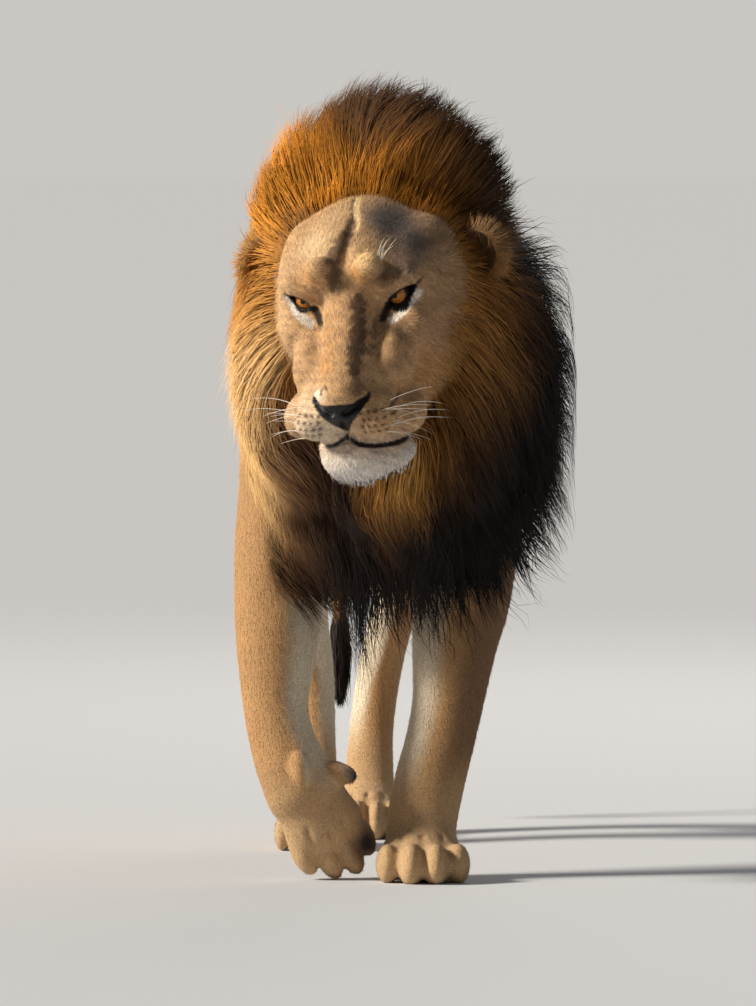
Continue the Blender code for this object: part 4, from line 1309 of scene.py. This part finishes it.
def grow_short(ground, outer, name, density, count, length, width, lift, contrast):
    """Small straight tufts along the skin; contrast is how much lighter tips are than roots."""
    roots, normals, uv = ground.scatter(density, count)
    size = length(roots) * RANDOM.uniform(0.75, 1.25, len(roots))
    flow = short_flow(roots) + RANDOM.normal(size=roots.shape) * 0.16
    lie = tangent(flow, normals)
    rise = np.radians(lift * RANDOM.uniform(0.6, 1.6, len(roots)))[:, None]
    tips = roots + (lie * np.cos(rise) + normals * np.sin(rise)) * size[:, None]
    tips[:, 2] = np.maximum(tips[:, 2], HAIR_CLEAR)
    paths = np.stack([roots - normals * 0.0006, tips], axis=1)
    tint, leather = coat_tint(roots, normals, outer)
    tint = tint * (1 + contrast * RANDOM.uniform(-0.8, 0.8, len(roots))[:, None])
    wide = width * RANDOM.uniform(0.8, 1.2, len(roots))
    strands = (paths, normals, wide, tint * (1 - contrast), tint * (1 + 0.6 * contrast), uv)
    look = ((1, 0), FUR, "coat_tawny")
    in_pieces(name, np.arange(len(roots)), SHORT_PER_PIECE, leather < 0.4, strands, *look)


# ---------------------------------------------------------------- the mane
def behind_hairline(own):
    """How far behind the face's hairline points in head frame are."""
    x, y, z = own.T
    side = 0.032 + 0.062 * smooth(z, -0.070, 0.010)
    top = smooth(z, 0.030, 0.090)
    return y - (side * (1 - top) + 0.135 * top)


def mane_flow(points):
    """The lie of the long hair: out and back from the face, then down and with the wind."""
    x, y, z = (points - np.array((-0.010, -0.300, 0.850))).T
    top = smooth(z, -0.02, 0.12)[:, None]
    low = smooth(z, -0.08, -0.24)[:, None]
    radial = unit(np.stack([x, np.zeros_like(x), z * 1.1], axis=1))
    crest = radial + np.array((0.22, 0.66, 0.12))
    side = radial * 0.75 + np.array((0.0, 0.42, -0.55))
    wind = 0.12 + 0.30 * smooth(x, 0.05, 0.20) + 0.20 * smooth(x, -0.02, -0.15)
    beard = np.stack([wind, np.full_like(x, 0.06), np.full_like(x, -1.0)], axis=1)
    flow = side * (1 - top) * (1 - low) + crest * top + beard * low * (1 - top)
    back = smooth(points[:, 1], -0.12, 0.05)[:, None]
    flow = flow * (1 - back) + np.array((0.0, 0.80, -0.62)) * back
    gust = smooth(points[:, 0], 0.05, 0.20)[:, None]
    swirl = np.stack([ripple(points, 24, seed) for seed in (41, 42, 43)], axis=1)
    curl = np.stack([ripple(points, 75, seed) for seed in (44, 45, 46)], axis=1)
    return unit(flow + np.array((0.30, 0.0, 0.0)) * gust + swirl * 0.34 + curl * 0.26)


MANE_COUNT, CHIN_COUNT, TUFT_COUNT = 43_500, 2_400, 2_200
LONG_LOCK = 0.075  # locks longer than this have one ring more
STRAND_STEPS = 4
GUIDES = 0.09  # share of the strands that others draw towards
LOCK_RULES = (  # share of guides, greatest pull, how late it starts, contrast between locks
    (GUIDES / 6, 0.45, 1.8, 0.24),
    (GUIDES, 0.60, 1.3, 0.12),
)
SIDE_ROOM, CROWN_ROOM = 0.032, 0.024  # hair may run this far past the two lines below
SIDE_LINE = CAD_BOX[1][0] - SHIFT[0] - 0.015
CROWN_LINE = CAD_BOX[1][2] + 0.008


def held(places, line, room):
    """Places with those past the line drawn back, so that they stay within room of it."""
    past = np.maximum(places - line, 0)
    return places - (past - room * (1 - np.exp(-past / room)))


def combed(roots, normals, outer, skin, length, tip_depth, edge, free):
    """Paths that follow the lie and settle between the skin and the mane's outer form.

    edge is how far roots are behind the hairline, free how little the outer form holds a strand.
    Also returns a shade for each strand, alike within a lock.
    """
    count = len(roots)
    depth = np.maximum(-outer.at(roots), 0.0)
    point = roots - normals * 0.002
    path = [point]
    step = (length / STRAND_STEPS)[:, None]
    long_hair = smooth(edge, 0.0, 0.06)[:, None]
    for i in range(1, STRAND_STEPS + 1):
        t = i / STRAND_STEPS
        flow = mane_flow(point) * long_hair + short_flow(point) * (1 - long_hair)
        out = unit(normals + outer.slope(point, 0.012))
        lean = 0.75 * (1 - t) ** 1.5 * (0.30 + 0.70 * long_hair)
        point = point + unit(flow * (1 - lean) + out * lean) * step
        wanted = depth * (1 - t) ** 1.3 + tip_depth * (1 - (1 - t) ** 1.3)
        gap = outer.at(point) + wanted
        pull = np.clip(gap, -0.5 * step[:, 0], 2 * step[:, 0]) * 0.8 * (1 - free) * long_hair[:, 0]
        point = point - outer.slope(point, 0.012) * pull[:, None]
        inside = np.minimum(skin.at(point) - 0.003 - 0.006 * t, 0)
        point = point - skin.slope(point) * inside[:, None]
        path.append(point)
    paths = np.stack(path, axis=1)
    # strands draw together towards a neighbour and make locks
    t = np.linspace(0, 1, STRAND_STEPS + 1)[None, :, None]
    shade = RANDOM.uniform(0.93, 1.07, count)
    for share, most, power, contrast in LOCK_RULES:
        guides = np.sort(RANDOM.choice(count, max(int(count * share), 1), replace=False))
        tree = KDTree(len(guides))
        for i, g in enumerate(guides):
            tree.insert(roots[g], i)
        tree.balance()
        lock = np.array([tree.find(root)[1] for root in roots])
        pull = RANDOM.uniform(0.05, most, count)[:, None, None]
        paths = paths + (paths[guides[lock]] - paths) * t**power * pull
        shade = shade * RANDOM.uniform(1 - contrast, 1 + contrast, len(guides))[lock]
    loose = (0.003 + 0.05 * length * RANDOM.random(count) ** 3)[:, None, None]
    wave = RANDOM.normal(size=(count, 1, 3)) * loose * t + RANDOM.normal(size=paths.shape) * 0.0012
    paths = paths + wave * t
    paths[..., 0] = held(paths[..., 0], SIDE_LINE, SIDE_ROOM)
    paths[..., 2] = held(paths[..., 2], CROWN_LINE, CROWN_ROOM)
    return paths, shade[:, None]


def shortened(paths):
    """The same paths with one station fewer."""
    places = np.linspace(0, paths.shape[1] - 1, paths.shape[1] - 1)
    before = np.minimum(places.astype(int), paths.shape[1] - 2)
    share = (places - before)[None, :, None]
    return paths[:, before] * (1 - share) + paths[:, before + 1] * share


def mane_density(ground, outer):
    """Where long hair grows: behind the hairline, under the mane's form and on the sleeve."""
    depth = -outer.at(ground.middle)
    own = in_head(ground.middle)
    edge = behind_hairline(own)
    face = (head_reach(own) < 0.26) & (own[:, 1] < 0.22)
    on_face = np.maximum(smooth(edge, -0.008, 0.020), smooth(depth, 0.014, 0.030))
    density = np.where(face, on_face, smooth(depth, 0.004, 0.020))
    density = np.maximum(density, smooth(sleeve(ground.middle), 0.20, 0.60) * 0.8)
    density = density * (1 - ear_share(ground.middle) * 0.9)
    density = density * (0.45 + 0.55 * smooth(ground.middle[:, 1], 0.15, -0.05))
    return density * (1 + 0.6 * smooth(np.abs(edge - 0.02), 0.05, 0.02) * face)


def grow_mane(ground, outer, skin):
    """Long locks from the hairline back: short at the face, hanging at the lower edge."""
    roots, normals, uv = ground.scatter(mane_density(ground, outer), MANE_COUNT)
    count = len(roots)
    x, _, z = roots.T
    depth = np.maximum(-outer.at(roots), 0)
    own = in_head(roots)
    edge = np.where(head_reach(own) < 0.26, behind_hairline(own), 1.0)
    edge = np.where(own[:, 2] < 0.03, np.maximum(edge, 6 * (depth - 0.012)), edge)
    length = np.clip(0.011 + np.clip(edge, 0, 0.07) + 2.3 * depth, 0.012, 0.150)
    length = np.minimum(length, 0.012 + 1.7 * np.maximum(edge, 0))
    arm = smooth(sleeve(roots), 0.15, 0.5)
    length = np.maximum(length, 0.085 * arm)
    low = smooth(z - 0.07 * smooth(x, 0.02, 0.14), 0.62, 0.50)
    windy = (RANDOM.random(count) < 0.16) & (x > 0.10) & (z < 0.90)
    middle = blob(roots, (-0.028, -0.300, 0.500), (0.045, 9, 9))
    middle = middle + 0.6 * blob(roots, (0.060, -0.300, 0.500), (0.035, 9, 9))
    hanging = RANDOM.random(count) < 0.20 + 0.35 * middle
    lower = np.where(hanging, 0.10 + 0.55 * middle, -0.45 * (1 - arm))
    length = length * (1 + 0.35 * windy + low * lower) * RANDOM.uniform(0.60, 1.30, count)
    wispy = (RANDOM.random(count) < 0.08 + 0.22 * smooth(z, 0.98, 1.04)) & (z > 0.93)
    length = length * (1 + 0.30 * wispy)
    tip_depth = np.abs(RANDOM.normal(size=count)) * 0.016 - 0.004 - 0.018 * wispy
    tip_depth = np.minimum(tip_depth, depth) - 0.014 * windy
    free = np.maximum(0.8 * low, 0.5 * windy)
    paths, shade = combed(roots, normals, outer, skin, length, tip_depth, edge, free)
    tip = paths[:, -1]
    streak = (RANDOM.random(count) < 0.10)[:, None] * 0.35
    root_tint = mane_tint(roots * 0.5 + tip * 0.5) * shade * 0.66 * (1 - streak)
    tip_tint = mane_tint(tip) * shade * 1.12 * (1 - streak)
    wide = RANDOM.uniform(0.0008, 0.0019, count) * (0.6 + 0.4 * smooth(length, 0.02, 0.06))
    wide = wide * (1 - 0.5 * wispy)
    for name, group, laid, profile in (
        ("mane_long_locks", length > LONG_LOCK, paths, (0.8, 1.0, 0.85, 0.5, 0)),
        ("mane_short_locks", length <= LONG_LOCK, shortened(paths), (0.8, 1.0, 0.7, 0)),
    ):
        group = np.nonzero(group)[0]
        order = group[np.argsort(roots[group, 2])]
        strands = (laid, normals, wide, root_tint, tip_tint, uv)
        look = (profile, LOCKS, "mane_gold")
        in_pieces(name, order, MANE_PER_PIECE, np.ones(count, bool), strands, *look)


def grow_chin(ground):
    """White hair that lies down the chin and hangs past its edge."""
    own = in_head(ground.middle)
    density = blob(own, (MOUTH_SHIFT, -0.100, -0.205), (0.052, 0.050, 0.030))
    density = density * smooth(own[:, 2], -0.172, -0.184) * (density > 0.10)
    roots, normals, uv = ground.scatter(density, CHIN_COUNT)
    count = len(roots)
    place = in_head(roots)
    length = 0.007 + 0.016 * smooth(place[:, 2], -0.185, -0.218)
    length = (length * RANDOM.uniform(0.5, 1.4, count))[:, None, None]
    t = np.linspace(0, 1, 4)[None, :, None]
    fan = np.array((0.05, 0.0, -1.0)) + place[:, :1] * (7, 0, 0)
    down = unit(tangent(fan, normals) + RANDOM.normal(size=(count, 3)) * 0.16)[:, None]
    paths = (roots - normals * 0.001)[:, None]
    paths = paths + (normals[:, None] * 0.35 * t * (1 - 0.6 * t) + down * t) * length
    shade = RANDOM.uniform(0.75, 1.15, count)[:, None]
    tint = WHITE * (1 - 0.45 * smooth(place[:, 2], -0.190, -0.178)[:, None]) * shade
    wide = RANDOM.uniform(0.0008, 0.0015, count)
    look = ((0.8, 1, 0.7, 0), LOCKS, "coat_pale")
    hair_piece("chin_hair", paths, normals, wide, tint * 0.8, tint, uv, *look)


def grow_tail_tuft(ground):
    """Dark locks that hang from the tail's end, down to a ragged tip above the floor."""
    density = smooth(ground.middle[:, 2], 0.32, 0.28) * (ground.middle[:, 1] > 1.05)
    roots, normals, uv = ground.scatter(density, TUFT_COUNT)
    count = len(roots)
    room = roots[:, 2] - RANDOM.uniform(0.165, 0.230, count)
    length = np.clip(RANDOM.uniform(0.05, 0.11, count), 0.02, np.maximum(room, 0.02))[:, None]
    t = np.linspace(0, 1, 5)[None, :, None]
    spread = unit(normals * (1, 1, 0.2))[:, None]
    down = unit(np.array((0.01, -0.22, -1.0)) + RANDOM.normal(size=(count, 3)) * 0.06)[:, None]
    paths = roots[:, None] - normals[:, None] * 0.002
    paths = paths + spread * (0.009 * np.sin(t * 1.9) - 0.012 * t**2) + down * t * length[:, None]
    shade = RANDOM.uniform(0.6, 1.6, count)[:, None]
    wide = RANDOM.uniform(0.0018, 0.003, count)
    look = ((0.8, 1, 0.9, 0.6, 0), LOCKS, "mane_dark")
    hair_piece("tail_tuft_locks", paths, normals, wide, DARK * shade * 0.7, DARK * shade, uv, *look)


# ---------------------------------------------------------------- eyes and bristles
GAZE = (-0.14, -1.0, 0.08)  # in head frame
EYE_FRONT = 56  # degrees from the gaze: finer rings up to here
EYE_FRONT_RINGS, EYE_BACK_RINGS, EYE_SIDES = 50, 23, 64
ROD_SIDES = 6
WHISKER_RADIUS, BROW_RADIUS = 0.00045, 0.00042
BROW_HAIRS = 7


def make_eye(sign, side):
    """An eyeball with a raised cornea: pupil, iris and dark rim as rings round the gaze."""
    turn = Vector(GAZE).normalized().to_track_quat("Z", "X").to_matrix()
    front = np.linspace(0, EYE_FRONT, EYE_FRONT_RINGS)
    angles = np.concatenate([front, np.linspace(EYE_FRONT, 180, EYE_BACK_RINGS)[1:]])
    phase = np.arange(EYE_SIDES) * 2 * math.pi / EYE_SIDES
    rows = []
    for angle in np.radians(angles):
        radius = EYE_RADIUS - 0.0003 + 0.0016 * smooth(np.degrees(angle), 46, 10)
        across, ahead = radius * math.sin(angle), np.full(EYE_SIDES, radius * math.cos(angle))
        rows.append(np.stack([across * np.cos(phase), across * np.sin(phase), ahead], axis=1))
    poles = np.array([rows[0][0], rows[-1][0]])
    points = np.concatenate([*rows[1:-1], poles]) @ np.array(turn).T
    points = points @ np.array(HEAD.to_3x3()).T + np.array(head_spot(sign, EYE_SEAT))
    index = np.arange(EYE_SIDES)
    after = (index + 1) % EYE_SIDES
    last = (len(rows) - 3) * EYE_SIDES
    faces = []
    for a in range(0, last, EYE_SIDES):
        b = a + EYE_SIDES
        faces += [
            np.stack([a + index, b + index, b + after], 1),
            np.stack([a + index, b + after, a + after], 1),
        ]
    top, bottom = (np.full(EYE_SIDES, len(points) - back) for back in (2, 1))
    faces.append(np.stack([top, index, after], 1))
    faces.append(np.stack([bottom, last + after, last + index], 1))
    eye = mesh_piece(f"eyeball_{side}", points, np.concatenate(faces), EYE)
    angle = np.append(np.repeat(angles[1:-1], EYE_SIDES), (0, 180))
    turnwise = np.append(np.tile(phase, len(angles) - 2), (0, 0))
    flecks = 0.5 + 0.5 * np.sin(turnwise * 23 + 2 * np.sin(turnwise * 7)) * smooth(angle, 8, 14)
    colours = layered(
        np.tile(linear(190, 118, 42), (len(angle), 1)),
        (linear(112, 64, 24), flecks * 0.5),
        (linear(198, 146, 70), smooth(angle, 24, 13) * 0.4),
        (linear(60, 34, 16), smooth(angle, 42, 48)),
        (BLACK, smooth(angle, 12.5, 11)),  # the pupil
        (linear(34, 22, 18), smooth(angle, 49, 53)),
    )
    paint(eye, colours, np.ones(len(angle)))
    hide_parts(f"eye_{side}")


def rod(path, radius):
    """Points and triangles of a tapering bristle along a curved path."""
    ahead = unit(np.gradient(path, axis=0))
    side = unit(np.cross(ahead, (0.3, 0.2, 0.9)))
    top = np.cross(side, ahead)
    angle = (np.arange(ROD_SIDES) * 2 * math.pi / ROD_SIDES)[:, None]
    steps = len(path)
    points = [
        path[i] + radius * (1 - i / steps) ** 0.7 * (np.cos(angle) * side[i] + np.sin(angle) * top[i])
        for i in range(steps - 1)
    ]
    points = np.concatenate([*points, path[-1:], path[:1]])
    last, tip, base = (steps - 2) * ROD_SIDES, len(points) - 2, len(points) - 1
    sides = [(a, (a + 1) % ROD_SIDES) for a in range(ROD_SIDES)]
    faces = []
    for ring, (a, b) in itertools.product(range(0, last, ROD_SIDES), sides):
        p, q = ring + a, ring + b
        faces += [(q, p, q + ROD_SIDES), (q + ROD_SIDES, p, p + ROD_SIDES)]
    for a, b in sides:
        faces += [(a, b, base), (last + b, last + a, tip)]
    return points, np.array(faces)


def joined(rods):
    """One set of points and triangles from several."""
    starts = np.cumsum([0] + [len(points) for points, _ in rods])
    faces = [triangles + start for (_, triangles), start in zip(rods, starts)]
    return np.concatenate([points for points, _ in rods]), np.concatenate(faces)


def make_whiskers(skin):
    """Whiskers from most of the dark spots, and long bristles over the left eye."""
    rods = []
    rng = np.random.default_rng(12)
    for sign in (1, -1):
        for spot in WHISKER_SPOTS:
            if rng.random() < 0.25:
                continue
            root = skin.onto(np.array([head_spot(sign, spot)]), -0.002)[0]
            length = rng.uniform(0.05, 0.11)
            heading = (sign * rng.uniform(0.75, 1.0), rng.uniform(0.25, 0.7), rng.uniform(-0.15, 0.30))
            heading = np.array(HEAD.to_3x3() @ Vector(heading).normalized())
            t = np.linspace(0, 1, 9)[:, None]
            sag = np.array((0, 0, -1.0)) * rng.uniform(0.10, 0.35)
            rods.append(rod(root + heading * t * length + sag * length * t**2, WHISKER_RADIUS))
    t = np.linspace(0, 1, 7)[:, None]
    for i in range(BROW_HAIRS):
        spot = (0.040 + 0.003 * i, -0.010, 0.056 + 0.003 * (i % 2))
        root = skin.onto(np.array([head_spot(1, spot)]), -0.002)[0]
        heading = np.array((rng.uniform(-0.1, 0.7), -0.35, 1.0))
        path = root + heading * t * rng.uniform(0.028, 0.050) + np.array((0.3, 0, -0.3)) * 0.02 * t**2
        rods.append(rod(path, BROW_RADIUS))
    points, faces = joined(rods)
    piece = mesh_piece("whiskers", points, faces, BRISTLE)
    paint(piece, np.tile(linear(238, 230, 218), (len(points), 1)))


# ---------------------------------------------------------------- all the hair
def near_eyes(own):
    """About 1 round the eyes, for points in head frame."""
    x, y, z = EYE_SEAT
    return sum(blob(own, (sign * x, y, z), (0.032, 0.050, 0.022)) for sign in (1, -1))


def face_length(points):
    """Short on the muzzle and round the eyes, longer on the chin and towards the mane."""
    place = in_head(points)
    muzzle = blob(place, (0, -0.12, -0.12), (0.07, 0.08, 0.07))
    chin = blob(place, (MOUTH_SHIFT, -0.09, -0.21), (0.06, 0.07, 0.03))
    back = smooth(behind_hairline(place), -0.05, 0.01)
    return 0.0064 - 0.002 * muzzle + 0.008 * chin + 0.009 * back - 0.0036 * near_eyes(place)


def grow_coat(skin_piece, skin, outer):
    ground = Ground(skin_piece)
    middle = ground.middle
    own = in_head(middle)
    bare = smooth(-outer.at(middle), 0.022, 0.010)  # where long hair leaves the short coat showing
    bare = bare * ~((middle[:, 2] < 0.004) & (ground.normals[ground.corners[:, 0], 2] < -0.8))
    on_head = (head_reach(own) < 0.27) & (own[:, 1] < 0.24)
    ears = ear_share(middle)
    feet = smooth(middle[:, 2], 0.24, 0.14)
    face = bare * on_head * (1 - ears) * (1 - 0.7 * near_eyes(own))
    for row in (  # name, density, count, length, width, lift in degrees, contrast
        ("face_fur", face, 38_000, face_length, 0.0012, 13, 0.24),
        ("body_fur", bare * ~on_head * (1 - feet), 58_000, lambda roots: 0.013, 0.0012, 7, 0.06),
        ("feet_fur", bare * feet, 15_000, lambda roots: 0.0075, 0.0011, 8, 0.10),
        ("ear_fur", ears, 4_000, lambda roots: 0.020, 0.0013, 24, 0.25),
    ):
        grow_short(ground, outer, *row)
    grow_mane(ground, outer, skin)
    grow_chin(ground)
    grow_tail_tuft(ground)


# ---------------------------------------------------------------- stage, lights, camera
FLOOR_RADIUS, FLOOR_CORNERS = 40, 64
LIGHT_AIM = (0, -0.3, 0.7)
KEY_HEADING, KEY_POWER, KEY_SPREAD = (0.85, 0.18, -0.50), 5.1, 12
CAMERA_BACK, CAMERA_HIGH = 20, 1.5
FRAME_HEIGHT, SENSOR_HEIGHT = 1006, 36.0
FOCAL = 14000  # focal length, in units of which the frame is FRAME_HEIGHT high
AIM_DOWN, AIM_ASIDE = 675, 3  # in the same units, from straight ahead


def make_stage():
    mesh = bpy.data.meshes.new("floor")
    corners = np.arange(FLOOR_CORNERS) * 2 * math.pi / FLOOR_CORNERS
    around = [(FLOOR_RADIUS * math.cos(a), FLOOR_RADIUS * math.sin(a), 0) for a in corners]
    mesh.from_pydata(around, [], [tuple(range(FLOOR_CORNERS))])
    material, _, _ = new_material("studio_floor", Base_Color=(*linear(206, 208, 212), 1), Roughness=0.9)
    mesh.materials.append(material)
    in_scene("floor", mesh)


def turned_light(light, heading, colour):
    light.color = colour
    made = in_scene(light.name, light)
    made.rotation_euler = heading.to_track_quat("-Z", "Y").to_euler()
    return made


def area_light(name, spot, size, power, colour):
    light = bpy.data.lights.new(name, "AREA")
    light.size, light.energy = size, power
    turned_light(light, Vector(LIGHT_AIM) - Vector(spot), colour).location = spot


def make_lights():
    """Soft sun from the photo's side, faint fill and back light, and a plain pale surround."""
    bpy.context.scene.view_settings.view_transform = "Standard"  # paint shows in its own colours
    key = bpy.data.lights.new("key", "SUN")
    key.energy, key.angle = KEY_POWER, math.radians(KEY_SPREAD)
    turned_light(key, Vector(KEY_HEADING), (1.0, 0.93, 0.82))
    area_light("fill", (3.6, -4.0, 1.8), 3.0, 7, (0.94, 0.97, 1.0))
    area_light("back", (1.2, 4.2, 3.6), 3.0, 50, (1.0, 0.97, 0.92))
    world = bpy.data.worlds.new("studio")
    world.use_nodes = True
    tree = world.node_tree
    lit = tree.nodes["Background"]
    set_inputs(lit, {"Color": (0.86, 0.88, 0.92, 1), "Strength": 0.17})
    seen = node(tree, "ShaderNodeBackground", Color=(0.590, 0.574, 0.546, 1), Strength=1.0)
    choice, ray = node(tree, "ShaderNodeMixShader"), node(tree, "ShaderNodeLightPath")
    wire(
        tree,
        (ray, "Is Camera Ray", choice, "Fac"),
        (lit, "Background", choice, 1),
        (seen, "Background", choice, 2),
        (choice, "Shader", tree.nodes["World Output"], "Surface"),
    )
    bpy.context.scene.world = world


def make_camera():
    data = bpy.data.cameras.new("camera")
    data.sensor_fit, data.sensor_height, data.clip_end = "VERTICAL", SENSOR_HEIGHT, 120.0
    data.lens = FOCAL / FRAME_HEIGHT * SENSOR_HEIGHT
    camera = in_scene("camera", data)
    camera.location = Vector((0, -CAMERA_BACK, CAMERA_HIGH)) + SHIFT
    down, aside = math.atan(AIM_DOWN / FOCAL), math.atan(AIM_ASIDE / FOCAL)
    camera.rotation_euler = (math.pi / 2 - down, 0, -aside)
    bpy.context.scene.camera = camera


def main():
    make_camera()
    make_stage()
    make_lights()
    skin, outer = make_fields()
    skin_piece = make_skin(skin, outer)
    grow_coat(skin_piece, skin, outer)
    for sign, side in ((1, "left"), (-1, "right")):
        make_eye(sign, side)
    make_whiskers(skin)


main()
